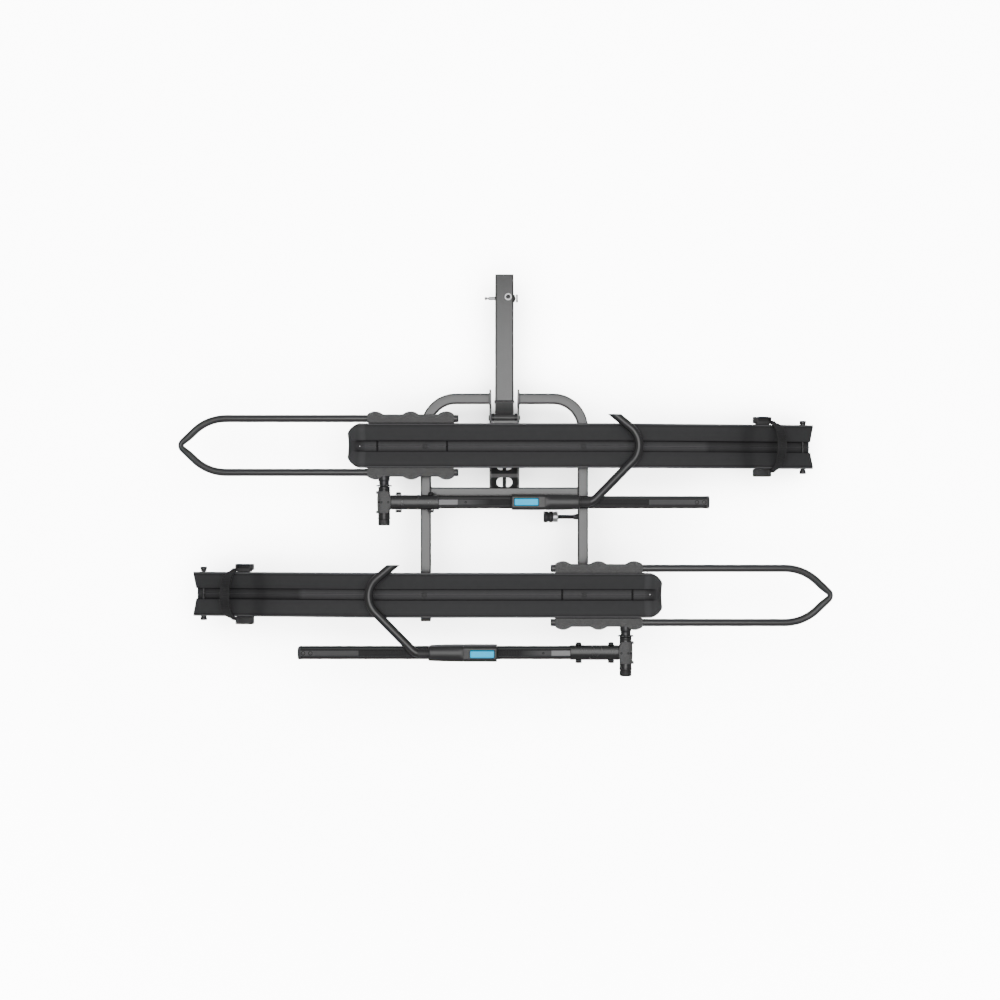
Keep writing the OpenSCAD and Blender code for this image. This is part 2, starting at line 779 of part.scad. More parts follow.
// Hoop clamp on the +y side, with three bolt lobes
module clamp(i, side) {
    color([0.4, 0.4, 0.41]) in_row(i) scale([1, side, 1]) difference() {
        translate([0, 0, clamp_z]) linear_extrude(clamp_h) {
            translate([-clamp_near - clamp_len, clamp_y]) square([clamp_len, clamp_w]);
            intersection() {
                for (x = lobe_x) translate([x, clamp_side - lobe_r]) circle(lobe_r, $fn = 96);
                translate([-clamp_near - clamp_len, clamp_y + clamp_w - 1]) square([clamp_len, lobe_out + 2]);
            }
        }
        translate([0, hoop_half, hoop_z]) rod_x_from(-clamp_near - clamp_len - 1, clamp_len + 2, hoop_d + 2 * fit);
        for (x = lobe_x) translate([x, clamp_bolt_y, clamp_z - 1]) cylinder(d = clamp_bolt_d + fit, h = clamp_h + 2);
    }
}

module clamp_bolts() {
    color("gray") for (i = rows, side = [-1, 1]) in_row(i) for (x = lobe_x)
        translate([x, side * clamp_bolt_y, clamp_z]) {
            translate([0, 0, -4]) cylinder(d = 10 * hex_ratio, h = 4, $fn = 6);
            cylinder(d = clamp_bolt_d, h = clamp_h);
            translate([0, 0, clamp_h]) cylinder(d = 10, h = 3);
        }
}

// Spindles that the arms turn on, with their stop flanges
module arm_spindles() {
    color("dimgray") for (i = rows) in_row(i) translate([-hinge_x, 0, hinge_z]) {
        root = clamp_side + 2 * fit;
        rod_y_back(-root, sleeve_y + sleeve_len - root, spindle_d);
        rod_y_back(-flange_y, 3.8, flange_d);
    }
}

module hinge_sleeve(i) {
    color([0.17, 0.17, 0.18]) in_row(i) translate([-hinge_x, 0, hinge_z]) difference() {
        rod_y_back(-sleeve_y, sleeve_len + cap_len, sleeve_d);
        rod_y_back(-sleeve_y + 1, sleeve_len + 1 + joint_gap, spindle_d + 2 * hinge_gap);
    }
}

// Saddle that holds the socket to the hinge sleeve
module arm_bracket(i) {
    saddle_w = 59;
    color([0.2, 0.2, 0.21]) in_row(i) on_arm() difference() {
        union() {
            rod_y_back(saddle_w / 2, saddle_w, sleeve_d + 5);
            translate([0, -saddle_w / 2, -arm_w / 2]) cube([socket_near, saddle_w, arm_w + 3]);
            for (s = [-1, 1]) translate([-20, s * saddle_w / 2 - 4, -6]) cube([8, 8, 12]);
        }
        rod_y_back(saddle_w, 2 * saddle_w, sleeve_d + fit);
        for (s = [-1, 1]) translate([-14, s * 12 - 3, sleeve_d / 2 - 8]) cube([28, 6, 20]);
    }
}

// Socket that the arm is bolted into
module arm_socket(i) {
    color([0.22, 0.22, 0.23]) in_row(i) on_arm() difference() {
        translate([socket_near, 0, 0]) right_from(0, socket_len) rounded_square(socket_w, 9);
        right_from(socket_near + 14, socket_len) rounded_square(arm_w + 2 * fit, 4);
        for (x = [20, socket_len - 15]) translate([socket_near + x, 0, 0])
            rod_y_back(socket_w, 2 * socket_w, 8 + 2 * fit);
    }
}

module arm_bolts(i) {
    color("gray") in_row(i) on_arm() for (x = [20, socket_len - 15]) translate([socket_near + x, 0, 0]) {
        rod_y_back(socket_w / 2 + 1, socket_w + 6, 8);
        rod_y_back(socket_w / 2 + 5.5, 5.5, 14);
        rod_y_back(-socket_w / 2, 5, 12 * hex_ratio, 6);
    }
}

module arm_bar(i) {
    color([0.2, 0.2, 0.21]) in_row(i) on_arm() difference() {
        right_from(socket_near + 14, arm_len - 4 - socket_near - 14) tube_section(arm_w, arm_wall, 4);
        for (x = [20, socket_len - 15]) translate([socket_near + x, 0, 0])
            rod_y_back(socket_w, 2 * socket_w, 8 + 2 * fit);
        translate([strip_near, -strip_w / 2, arm_w / 2 - strip_depth]) cube([strip_len + 2, strip_w, strip_depth + 1]);
    }
}

// Strip let into the arm's top, with teeth for the slider's catch
module rack_strip(i) {
    color([0.3, 0.3, 0.31]) in_row(i) on_arm() difference() {
        translate([strip_near, -strip_w / 2, arm_w / 2 - strip_depth])
            cube([strip_len, strip_w, strip_depth + strip_rise]);
        for (n = [0:tooth_count - 1]) translate([teeth_near + n * tooth_pitch, -strip_w / 2 + 2, arm_w / 2 - 1.5])
            cube([tooth_pitch / 2, strip_w - 4, 4]);
        translate([strip_near + 72, 0, arm_w / 2 - 1]) cylinder(d = 6, h = 4);
    }
}

module end_cap(i) {
    plug_w = arm_w - 2 * arm_wall - 2 * fit;
    color([0.13, 0.13, 0.14]) in_row(i) on_arm() {
        right_from(arm_len - 4, 6) rounded_square(arm_w, 4);
        difference() {
            right_from(arm_len - 44, 41) rounded_square(plug_w, 3);
            translate([strip_near, -strip_w / 2 - fit, arm_w / 2 - strip_depth - fit])
                cube([strip_len + 2, strip_w + 2 * fit, 2 * strip_depth]);
        }
    }
}

module slider(i) {
    top_r = 8;
    catch_w = button_w + 2 * fit;
    color([0.16, 0.16, 0.17]) in_row(i) on_arm() difference() {
        right_from(slider_near, slider_len) {
            translate([-slider_w / 2, slider_bottom]) square([slider_w, slider_top - top_r - slider_bottom]);
            translate([-slider_w / 2 + top_r, slider_top - top_r]) square([slider_w - 2 * top_r, top_r]);
            for (s = [-1, 1]) translate([s * (slider_w / 2 - top_r), slider_top - top_r]) circle(top_r);
        }
        right_from(slider_near - 1, slider_len + 2) {
            square(2 * slider_in_h, center = true);
            translate([-strip_w / 2 - 0.5, 0]) square([strip_w + 1, arm_w / 2 + strip_rise + slider_gap]);
        }
        translate([0, 0, hook_z]) rod_x_from(slider_near + slider_len - 70, 80, hook_d);
        translate([button_near - fit, -catch_w / 2, button_z - button_travel - fit])
            cube([button_len + 2 * fit, catch_w, slider_top]);
        translate([slider_near + 80, -slider_w, hook_z + 3]) cube([22, 2 * slider_w, 1.2]);
    }
}

// Release button with a pad that stands above the slider
module button(i) {
    color([0.4, 0.9, 0.98]) in_row(i) on_arm() right_from(button_near, button_len) {
        pad_top = slider_top + button_up;
        translate([-button_w / 2, button_z]) square([button_w, pad_top - button_z - 2]);
        translate([-button_w / 2 + 2, button_z]) square([button_w - 4, pad_top - button_z]);
        for (s = [-1, 1]) translate([s * (button_w / 2 - 2), pad_top - 2]) circle(2);
    }
}

// Hook tube, with its corners found where its centre lines meet
module hook_sweep(d) {
    start_r = 34;
    rise = arm_y + hook_over;
    corner_x = hook_start + rise / tan(hook_angle);
    start_cut = start_r * tan(hook_angle / 2);
    corner_cut = hook_r * tan(hook_turn / 2);
    long_len = rise / sin(hook_angle) - start_cut - corner_cut;
    end_angle = hook_angle + hook_turn;
    end_len = (hook_end - hook_over) / sin(end_angle) - corner_cut;
    root_x = slider_near + slider_len - 66;
    bend_run(root_x, hook_start - start_cut - root_x, d);
    translate([hook_start - start_cut, start_r, 0]) rotate([0, 0, -90])
        rotate_extrude(angle = hook_angle, $fn = 96) translate([start_r, 0]) circle(d = d);
    translate([hook_start, 0, 0]) rotate([0, 0, hook_angle]) {
        translate([start_cut, 0, 0]) bend_run(0, long_len, d);
        translate([start_cut + long_len, hook_r, 0]) rotate([0, 0, -90])
            rotate_extrude(angle = hook_turn, $fn = 96) translate([hook_r, 0]) circle(d = d);
    }
    difference() {
        translate([corner_x, rise, 0]) rotate([0, 0, end_angle])
            translate([corner_cut, 0, 0]) bend_run(0, end_len + 40, d);
        translate([0, arm_y + hook_end, -d]) cube([2 * corner_x, 4 * d, 2 * d]);
    }
}

module hook(i) {
    color([0.12, 0.12, 0.13]) in_row(i) on_arm() translate([0, 0, hook_z]) hook_sweep(hook_d);
}

// Strap that arches over the rear wheel, as a band cut from a ring, with a foot on each block
module strap(i) {
    foot_y = tray_half + ratchet_w / 4;
    foot_z = lip_z + strap_t;
    rise = strap_rise - strap_t;
    ring_r = (foot_y * foot_y + rise * rise) / (2 * rise);
    color([0.2, 0.2, 0.21]) in_row(i) on_slope() {
        intersection() {
            right_from(strap_near, strap_w) translate([0, foot_z + rise - ring_r]) difference() {
                circle(ring_r, $fn = 128);
                circle(ring_r - strap_t, $fn = 128);
            }
            translate([strap_near - 1, -2 * foot_y, foot_z - 1]) cube([strap_w + 2, 4 * foot_y, 2 * strap_rise]);
        }
        for (s = [0, 1]) mirror([0, s, 0]) translate([strap_tab_x, tray_half + fit, lip_z])
            cube([strap_near + strap_w - strap_tab_x, ratchet_w / 2 - 2 * fit, strap_t]);
    }
}

// Block beside the tray that carries a foot of the strap
module strap_block() {
    translate([ratchet_x - ratchet_len / 2, tray_half, lip_z - ratchet_h]) cube([ratchet_len, ratchet_w, ratchet_h]);
}

// Places a piece on the ratchet lever's pin
module on_ratchet_pin() {
    translate([ratchet_x, tray_half + lever_pin_out, lip_z - lever_pin_below]) children();
}

module ratchet(i) {
    color([0.13, 0.13, 0.14]) in_row(i) on_slope() difference() {
        strap_block();
        on_ratchet_pin() rod_x_from(-ratchet_len, 2 * ratchet_len, 4 + 2 * hinge_gap);
        on_ratchet_pin() translate([-ratchet_len / 2 + 5, -5.4, -5.4]) cube([ratchet_len - 10, 20, 40]);
    }
}

// Lever that lies across the outer side of its ratchet
module ratchet_lever(i) {
    lever_in = ratchet_len / 2 - 5.4;
    color([0.1, 0.1, 0.1]) in_row(i) on_slope() on_ratchet_pin() {
        rod_x_from(-ratchet_len / 2, ratchet_len, 4);
        rod_x_from(-lever_in, 2 * lever_in, 9);
        translate([-lever_in, 0, -1]) cube([2 * lever_in, ratchet_lever_len, 5]);
    }
}

module strap_anchors() {
    color([0.13, 0.13, 0.14]) for (i = rows) in_row(i) on_slope() mirror([0, 1, 0]) strap_block();
}

module cross_rods() {
    color([0.1, 0.1, 0.1]) for (i = rows) in_row(i) on_slope() translate([rod_x, 0, channel_h / 2 + 1]) {
        rod_y_back(tray_half + rod_end_len, tray_w + 2 * rod_end_len, rod_d);
        for (y = [tray_half + rod_end_len, -tray_half - fit]) rod_y_back(y, rod_end_len - fit, rod_end_d);
    }
}

tongue();
cross_bush();
bolt_boss();
lock_stud();
tilt_head();
tilt_pin();
hitch_bolt();
tilt_lever();
bracket();
left_rail();
right_rail();
cross_tube();
rail_plugs();
pivot_bolt();
lock_ferrule();
lock_stem();
lock_collar();
lock_knob();
tray(0);  // inner_tray
tray(1);  // outer_tray
inner_saddles();
outer_risers();
tray_bolts();
hoop(0);  // inner_hoop
hoop(1);  // outer_hoop
hoop_caps();
clamp(0, 1);  // inner_front_clamp
clamp(0, -1);  // inner_rear_clamp
clamp(1, 1);  // outer_front_clamp
clamp(1, -1);  // outer_rear_clamp
clamp_bolts();
arm_spindles();
strap(0);  // inner_strap
strap(1);  // outer_strap
ratchet(0);  // inner_ratchet
ratchet(1);  // outer_ratchet
strap_anchors();
cross_rods();
ratchet_lever(0);  // inner_ratchet_lever
ratchet_lever(1);  // outer_ratchet_lever
hinge_sleeve(0);  // inner_hinge_sleeve
hinge_sleeve(1);  // outer_hinge_sleeve
arm_bracket(0);  // inner_arm_bracket
arm_bracket(1);  // outer_arm_bracket
arm_socket(0);  // inner_arm_socket
arm_socket(1);  // outer_arm_socket
arm_bar(0);  // inner_arm_bar
arm_bar(1);  // outer_arm_bar
rack_strip(0);  // inner_rack_strip
rack_strip(1);  // outer_rack_strip
arm_bolts(0);  // inner_arm_bolts
arm_bolts(1);  // outer_arm_bolts
end_cap(0);  // inner_end_cap
end_cap(1);  // outer_end_cap
slider(0);  // inner_slider
slider(1);  // outer_slider
hook(0);  // inner_hook
hook(1);  // outer_hook
button(0);  // inner_button
button(1);  // outer_button
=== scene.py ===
import math
import bmesh
import bpy
import numpy as np
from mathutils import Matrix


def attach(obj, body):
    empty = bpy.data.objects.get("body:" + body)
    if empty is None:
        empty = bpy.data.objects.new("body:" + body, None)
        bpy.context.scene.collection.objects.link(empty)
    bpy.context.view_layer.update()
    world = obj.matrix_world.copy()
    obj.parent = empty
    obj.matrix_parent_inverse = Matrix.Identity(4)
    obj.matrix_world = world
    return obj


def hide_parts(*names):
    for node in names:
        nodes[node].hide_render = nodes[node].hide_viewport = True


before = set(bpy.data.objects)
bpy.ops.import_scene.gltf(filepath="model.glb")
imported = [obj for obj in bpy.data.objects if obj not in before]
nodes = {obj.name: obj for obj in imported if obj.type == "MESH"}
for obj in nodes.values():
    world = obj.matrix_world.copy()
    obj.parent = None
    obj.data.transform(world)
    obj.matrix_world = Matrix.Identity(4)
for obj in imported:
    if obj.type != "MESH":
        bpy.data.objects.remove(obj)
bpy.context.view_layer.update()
print("frame loaded:", len(nodes), "nodes")

# Places that the pieces share, in millimetres from the middle of the tongue's top face
rack = {
    "axisZ": -25.4,            # centre line of the tongue and of the frame's tubes
    "pivotY": -331.4,
    "pivotZ": -11.9,
    "rowY": (-411.0, -816.0),  # middle of each tray
    "rowZ": (7.6, 32.6),       # underside of each tray
    "bend": 320.0,             # tray's bend from the rack's middle
    "slope": math.radians(7.25),
    "hinge": (-326.5, -153.9, 30.0),
}
rowNames = ("inner", "outer")

# Directions of a section's first and second side and of the way along it
alongX = ((0, 1, 0), (0, 0, 1), (1, 0, 0))
intoBack = ((1, 0, 0), (0, 0, 1), (0, -1, 0))


# Points on round corners: each corner of a 2D line is replaced by an arc that touches both of its sides
def roundCorners(corners, radii, closed=False, steps=5):
    pts = np.array(corners, float)
    count = len(pts)
    out = []
    for k in range(count):
        r = radii if np.isscalar(radii) else radii[k]
        if r <= 0 or (not closed and k in (0, count - 1)):
            out.append(pts[k:k + 1])
            continue
        into = pts[k] - pts[k - 1]
        away = pts[(k + 1) % count] - pts[k]
        into, away = into / np.linalg.norm(into), away / np.linalg.norm(away)
        turn = math.atan2(into[0] * away[1] - into[1] * away[0], into @ away)
        if abs(turn) < 0.01:
            out.append(pts[k:k + 1])
            continue
        start = pts[k] - into * r * math.tan(abs(turn) / 2)
        side = np.array([-into[1], into[0]]) * math.copysign(1, turn)
        a = np.linspace(0, turn, steps + 1)[:, None]
        out.append(start + side * r + r * (into * np.sin(np.abs(a)) - side * np.cos(a)))
    return np.vstack(out)


# Loop of a rectangle with round corners, anticlockwise
def roundedLoop(width, height, r, steps=5):
    w, h = width / 2, height / 2
    return roundCorners([(w, -h), (w, h), (-w, h), (-w, -h)], r, True, steps)


def circleLoop(radius, sides=40):
    a = np.linspace(0, 2 * np.pi, sides, endpoint=False)
    return np.stack([radius * np.cos(a), radius * np.sin(a)], 1)


# Line with points added, so that none of its straight runs is longer than about twice the gap
def subdivided(line, gap):
    out = [line[:1]]
    for a, b in zip(line[:-1], line[1:]):
        parts = max(1, int(np.linalg.norm(b - a) // gap))
        out.append(a + (b - a) * (np.arange(1, parts + 1) / parts)[:, None])
    return np.vstack(out)


# Faces between the rows of a grid of points, as quads. wrapU and wrapV join the last row to the first.
def gridFaces(m, n, wrapU=False, wrapV=True, first=0):
    u = np.arange(m if wrapU else m - 1)[:, None]
    v = np.arange(n if wrapV else n - 1)[None, :]
    u2, v2 = (u + 1) % m, (v + 1) % n
    return first + np.stack([u * n + v, u * n + v2, u2 * n + v2, u2 * n + v], -1).reshape(-1, 4)


# Solid skin over a stack of rings: quads between the rings, and a flat many-sided face on each end
def skin(stack):
    stack = np.asarray(stack, float)
    m, n = stack.shape[:2]
    ends = [list(range(n))[::-1], list(range((m - 1) * n, m * n))]
    return stack.reshape(-1, 3), gridFaces(m, n), ends


# Skin over a stack of rings whose last ring meets the first, as on a bead, a bush or a pipe
def ringSkin(stack):
    m, n = stack.shape[:2]
    return stack.reshape(-1, 3), gridFaces(m, n, wrapU=True), []


# Closed shell between an upper and a lower grid that have the same rows and columns
def shell(top, bottom):
    m, n = top.shape[:2]
    low = m * n
    faces = [gridFaces(m, n, wrapV=False), gridFaces(m, n, wrapV=False, first=low)[:, ::-1]]
    rows = [np.arange(n), np.arange(n)[::-1] + (m - 1) * n, np.arange(m)[::-1] * n, np.arange(m) * n + n - 1]
    for edge in rows:
        a, b = edge[:-1], edge[1:]
        faces.append(np.stack([b, a, a + low, b + low], 1))
    return np.concatenate([top.reshape(-1, 3), bottom.reshape(-1, 3)]), np.concatenate(faces), []


# Rings of one loop, or of one loop for each height, along the last of the three directions
def ringsAlong(loop, heights, directions, origin=(0, 0, 0)):
    loops = loop if np.ndim(loop) == 3 else np.repeat(np.asarray(loop)[None], len(heights), 0)
    a, b, t = (np.array(d, float) for d in directions)
    h = np.asarray(heights, float)[:, None, None]
    return np.array(origin, float) + loops[..., 0:1] * a + loops[..., 1:2] * b + h * t


# Loop of the yz plane at one x
def atX(x, loop):
    return np.column_stack([np.full(len(loop), x), loop])


# Half loop from the middle to the middle, closed by its mirror image
def mirrored(half):
    return np.vstack([half, (half * np.array([-1, 1]))[::-1][1:-1]])


# Loop moved inwards by d: each point steps along its own inward normal
def inset(loop, d):
    fore, back = np.roll(loop, -1, 0), np.roll(loop, 1, 0)
    along = fore - back
    along /= np.linalg.norm(along, axis=1, keepdims=True) + 1e-12
    return loop + np.stack([-along[:, 1], along[:, 0]], 1) * d


# Stations from t0 to t1, and how far the section is drawn in at each: a quarter circle at both ends
def softEnds(t0, t1, edge, steps, middle):
    q = np.linspace(0, np.pi / 2, steps + 1)
    near, drawn = edge * (1 - np.cos(q)), edge * (1 - np.sin(q))
    stations = np.concatenate([t0 + near, middle, t1 - near[::-1]])
    return stations, np.concatenate([drawn, np.zeros(len(middle)), drawn[::-1]])


# Prism with soft end edges
def prism(loop, t0, t1, directions, edge=1.0, steps=3, middle=()):
    heights, depth = softEnds(t0, t1, edge, steps, middle)
    return skin(ringsAlong(np.stack([inset(loop, d) for d in depth]), heights, directions))


# Turned shape: the outline (radius, height) carried round the axis, with a radius that may vary
# with the angle. The outline of a ring is closed and does not meet the axis.
def lathe(outline, axis, origin, sides=48, wobble=None, ring=False):
    outline = np.asarray(outline, float)
    t = np.array(axis, float)
    a = np.array((0, 0, 1) if abs(t[2]) < 0.9 else (1, 0, 0), float)
    b = np.cross(t, a)
    ang = np.linspace(0, 2 * np.pi, sides, endpoint=False)
    r = np.repeat(outline[:, 0:1], sides, 1)
    if wobble is not None:
        r = wobble(r, ang[None, :], outline[:, 1:2])
    pts = np.array(origin, float) + (r * np.cos(ang))[..., None] * a + (r * np.sin(ang))[..., None] * b
    return (ringSkin if ring else skin)(pts + outline[:, 1][:, None, None] * t)


# Outline of a plain turned bar or pin, from the height start
def rodOutline(radius, length, start=0.0):
    return [(0, start), (radius, start), (radius, start + length), (0, start + length)]


# Radius of a hexagonal bar of that width across flats, at each angle
def flatsAt(r, ang, flats):
    step = np.pi / 3
    local = (ang + step / 2) % step - step / 2
    return np.minimum(r, flats / 2 / np.cos(local))


# Directions along a line of points, to its side and upwards, the side one square to z
def turnsOf(line):
    run = np.gradient(line, axis=0)
    run /= np.linalg.norm(run, axis=1, keepdims=True)
    side = np.cross((0.0, 0.0, 1.0), run)
    side /= np.linalg.norm(side, axis=1, keepdims=True)
    return run, side, np.cross(run, side)


# Section loop carried along a line of points, square to it
def carry(loop, line):
    side, up = turnsOf(line)[1:]
    return line[:, None] + loop[None, :, 0:1] * side[:, None] + loop[None, :, 1:2] * up[:, None]


# Round tube along a line of points, with its end edges cut off by the width capEdge
def tubeAlong(line, radius, sides, capEdge=0.0):
    run, side, up = turnsOf(line)
    r = np.full(len(line), radius)
    if capEdge:
        line, side, up, run = (np.concatenate([[d[0]], d, [d[-1]]]) for d in (line, side, up, run))
        r = np.concatenate([[radius - capEdge], r, [radius - capEdge]])
        line[1] += run[1] * capEdge
        line[-2] -= run[-2] * capEdge
    ring = circleLoop(1, sides)
    across = ring[None, :, 0:1] * side[:, None] + ring[None, :, 1:2] * up[:, None]
    return skin(line[:, None] + r[:, None, None] * across)


# Line of points through corners in the xy plane with an arc at each corner
def bentLine(corners, radii, z, steps, gap):
    flat = subdivided(roundCorners(corners, radii, False, steps), gap)
    return np.column_stack([flat, np.full(len(flat), z)])


# Box with soft edges: points of a ball pushed out to the box's corners
def softBox(lo, hi, r, steps=4):
    lo, hi = np.array(lo, float), np.array(hi, float)
    half, mid = (hi - lo) / 2, (hi + lo) / 2
    q = np.linspace(0, np.pi / 2, steps + 1)
    lon = np.concatenate([q + k * np.pi / 2 for k in range(4)])
    lat = np.concatenate([q - np.pi / 2, q])[:, None]
    corners = [np.repeat(signs, steps + 1) for signs in ([1, -1, -1, 1], [1, 1, -1, -1], [-1, 1])]
    corners[2] = corners[2][:, None]
    ball = np.broadcast_arrays(np.cos(lat) * np.cos(lon), np.cos(lat) * np.sin(lon), np.sin(lat))
    return skin(mid + np.stack(np.broadcast_arrays(*corners), -1) * (half - r) + np.stack(ball, -1) * r)


def moved(part, how):
    return (how(part[0]),) + tuple(part[1:])


# Row's local place to the rack's frame: the outer row is the inner row's mirror image in x
def inRow(i, part):
    return moved(part, lambda p: p * np.array([1 - 2 * i, 1, 1])
                 + np.array([0, rack["rowY"][i], rack["rowZ"][i]]))


# Along the tray's slope: x from the bend down the slope, z square to it
def onSlope(part):
    c, s = math.cos(rack["slope"]), math.sin(rack["slope"])

    def how(p):
        return np.stack([rack["bend"] + p[..., 0] * c + p[..., 2] * s, p[..., 1],
                         -p[..., 0] * s + p[..., 2] * c], -1)
    return moved(part, how)


# From the arm's hinge: x along the arm, y across it
def onArm(part):
    return moved(part, lambda p: p + np.array(rack["hinge"], float))


# Puts parts into one mesh in metres: doubled points are merged, empty faces dropped, shells turned outwards
def makeMesh(name, parts, tones, sharp):
    allPoints, allFaces, allTones, start = [], [], [], 0
    for number, (pts, quads, ends) in enumerate(parts):
        keys, first, back = np.unique(np.round(pts, 5), axis=0, return_index=True, return_inverse=True)
        back = back.reshape(-1)
        faces = [list(dict.fromkeys(f)) for f in back[np.asarray(quads)].tolist()]
        faces += [list(dict.fromkeys(back[np.asarray(e)].tolist())) for e in ends]
        faces = [f for f in faces if len(f) > 2]
        fan = np.array([(f[0], f[k], f[k + 1]) for f in faces for k in range(1, len(f) - 1)])
        a, b, c = (keys[fan[:, k]] for k in range(3))
        if np.einsum("ij,ij->i", a, np.cross(b, c)).sum() < 0:
            faces = [f[::-1] for f in faces]
        allPoints.append(keys)
        allFaces += [[v + start for v in f] for f in faces]
        if tones is not None:
            allTones.append(np.asarray(tones[number], float)[first])
        start += len(keys)
    mesh = bpy.data.meshes.new(name)
    mesh.from_pydata((np.vstack(allPoints) / 1000).tolist(), [], allFaces)
    if tones is not None:
        layer = mesh.attributes.new("tone", "FLOAT", "POINT")
        layer.data.foreach_set("value", np.concatenate(allTones).astype(np.float32))
    smoothed(mesh, sharp)
    return mesh


# Smooth faces, with the edges kept sharp that turn by more than so many degrees
def smoothed(mesh, sharp):
    mesh.polygons.foreach_set("use_smooth", np.ones(len(mesh.polygons), bool))
    mesh.update()
    mesh.set_sharp_from_angle(angle=math.radians(sharp))


# Puts a mesh in the scene with its finish and the body that it rides on, and hides the nodes it stands for
def putIn(name, mesh, body, finish, standsFor, slotName=None):
    mesh.materials.clear()
    mesh.materials.append(finishes[finish])
    piece = bpy.data.objects.new(name, mesh)
    bpy.context.scene.collection.objects.link(piece)
    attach(piece, body)
    slotName or looks[finish]["slot"]
    if standsFor:
        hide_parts(*standsFor)
    return piece


def addPiece(name, body, finish, parts, standsFor=(), slotName=None, tones=None, sharp=35):
    return putIn(name, makeMesh(name, parts, tones, sharp), body, finish, standsFor, slotName)


# Piece that both rows have: names and bodies start with the row's own name, and the frame is shared
def rowPiece(i, ending, body, finish, parts, node="", base=lambda part: part, **more):
    row = rowNames[i] + "_"
    return addPiece(row + ending, body if body == "frame" else row + body, finish,
                    [inRow(i, base(part)) for part in parts], [row + node] if node else [], **more)


# Dressed copy of a node: doubles merged, flat faces joined, sharp edges given a small round
def dressNode(node, body, finish, edge, segments=2):
    mesh = nodes[node].data.copy()
    mesh.name = node + "_dressed"
    work = bmesh.new()
    work.from_mesh(mesh)
    bmesh.ops.remove_doubles(work, verts=work.verts, dist=1e-6)
    bmesh.ops.dissolve_limit(work, angle_limit=math.radians(0.8), verts=work.verts, edges=work.edges)
    work.to_mesh(mesh)
    work.free()
    smoothed(mesh, 30)
    piece = putIn(node + "_dressed", mesh, body, finish, [node])
    bevel = piece.modifiers.new("softEdges", "BEVEL")
    bevel.width, bevel.segments = edge / 1000, segments
    bevel.limit_method, bevel.angle_limit = "ANGLE", math.radians(38)
    bevel.harden_normals = True


# Node that maps one range of a value to another
def mapped(tree, value, low, high, first, last):
    made = tree.nodes.new("ShaderNodeMapRange")
    for key, number in (("From Min", low), ("From Max", high), ("To Min", first), ("To Max", last)):
        made.inputs[key].default_value = number
    tree.links.new(value, made.inputs["Value"])
    return made.outputs["Result"]


# Node that mixes two colours or numbers, each given as a value or as another node's output
def mixed(tree, factor, a, b, kind="RGBA", blend="MIX"):
    made = tree.nodes.new("ShaderNodeMix")
    made.data_type, made.blend_type = kind, blend
    for key, value in (("Factor", factor), ("A", a), ("B", b)):
        if isinstance(value, bpy.types.NodeSocket):
            tree.links.new(value, made.inputs[key])
        else:
            made.inputs[key].default_value = value
    return made.outputs["Result"]


def product(tree, a, b):
    made = tree.nodes.new("ShaderNodeMath")
    made.operation = "MULTIPLY"
    tree.links.new(a, made.inputs[0])
    tree.links.new(b, made.inputs[1])
    return made.outputs["Value"]


def noise(tree, vector, scale, detail, roughness):
    made = tree.nodes.new("ShaderNodeTexNoise")
    for key, number in (("Scale", scale), ("Detail", detail), ("Roughness", roughness)):
        made.inputs[key].default_value = number
    tree.links.new(vector, made.inputs["Vector"])
    return made.outputs["Fac"]


# What all finishes share: detail and roughness of the mottling, roughness of the grain, the part of its range
# that gives the specks, the depth of the bumps in metres, and how rough a clear coat is
surface = {"mottle": (4.0, 0.6), "grainRough": 0.55, "speckRange": (0.42, 0.68), "bumpDepth": 0.0003,
           "coatRough": 0.08}


# Node material on Object coordinates: the colour is mottled by its shade, specked by the grain and multiplied
# by the mesh's own tone (painted highlights and shade on the trays and the button), the roughness follows the
# mottling and the bump follows the grain. A glow is painted light: the colour is emitted as well.
def makeFinish(name, look):
    mat = bpy.data.materials.new(name)
    mat.use_nodes = True
    tree = mat.node_tree
    shader = tree.nodes["Principled BSDF"]
    place = tree.nodes.new("ShaderNodeTexCoord").outputs["Object"]
    stretch = tree.nodes.new("ShaderNodeMapping")
    stretch.inputs["Scale"].default_value = look.get("stretch", (1, 1, 1))
    tree.links.new(place, stretch.inputs["Vector"])
    mottle = noise(tree, place, look.get("mottleScale", 60), *surface["mottle"])
    grain = noise(tree, stretch.outputs["Vector"], look["grainScale"], look.get("grainDetail", 3.0),
                  surface["grainRough"])

    dark, light = ([min(1, c * (1 + sign * look["shade"])) for c in look["color"]] + [1] for sign in (-1, 1))
    color = mixed(tree, mottle, dark, light)
    if "speck" in look:
        speck = mapped(tree, grain, *surface["speckRange"], 1 - look["speck"], 1 + look["speck"])
        color = mixed(tree, 1, color, speck, blend="MULTIPLY")
    if look.get("tone"):
        tone = tree.nodes.new("ShaderNodeAttribute")
        tone.attribute_name = "tone"
        color = mixed(tree, 1, color, tone.outputs["Fac"], blend="MULTIPLY")
    tree.links.new(color, shader.inputs["Base Color"])

    spread = look.get("roughSpread", 0.06)
    rough = mapped(tree, mottle, 0, 1, look["rough"] - spread, look["rough"] + spread)
    tree.links.new(rough, shader.inputs["Roughness"])
    bump = tree.nodes.new("ShaderNodeBump")
    bump.inputs["Strength"].default_value = look["bump"]
    bump.inputs["Distance"].default_value = surface["bumpDepth"]
    tree.links.new(grain, bump.inputs["Height"])
    tree.links.new(bump.outputs["Normal"], shader.inputs["Normal"])

    shader.inputs["Metallic"].default_value = look.get("metal", 0)
    shader.inputs["Specular IOR Level"].default_value = look.get("gloss", 0.5)
    # A glow paints light: the colour is emitted as well, though the part is no lamp
    if "glow" in look:
        tree.links.new(color, shader.inputs["Emission Color"])
        shader.inputs["Emission Strength"].default_value = look["glow"]
    if "coat" in look:
        shader.inputs["Coat Weight"].default_value = look["coat"]
        shader.inputs["Coat Roughness"].default_value = surface["coatRough"]
    return mat


def grey(value, blue=None):
    return (value, value, blue or value)
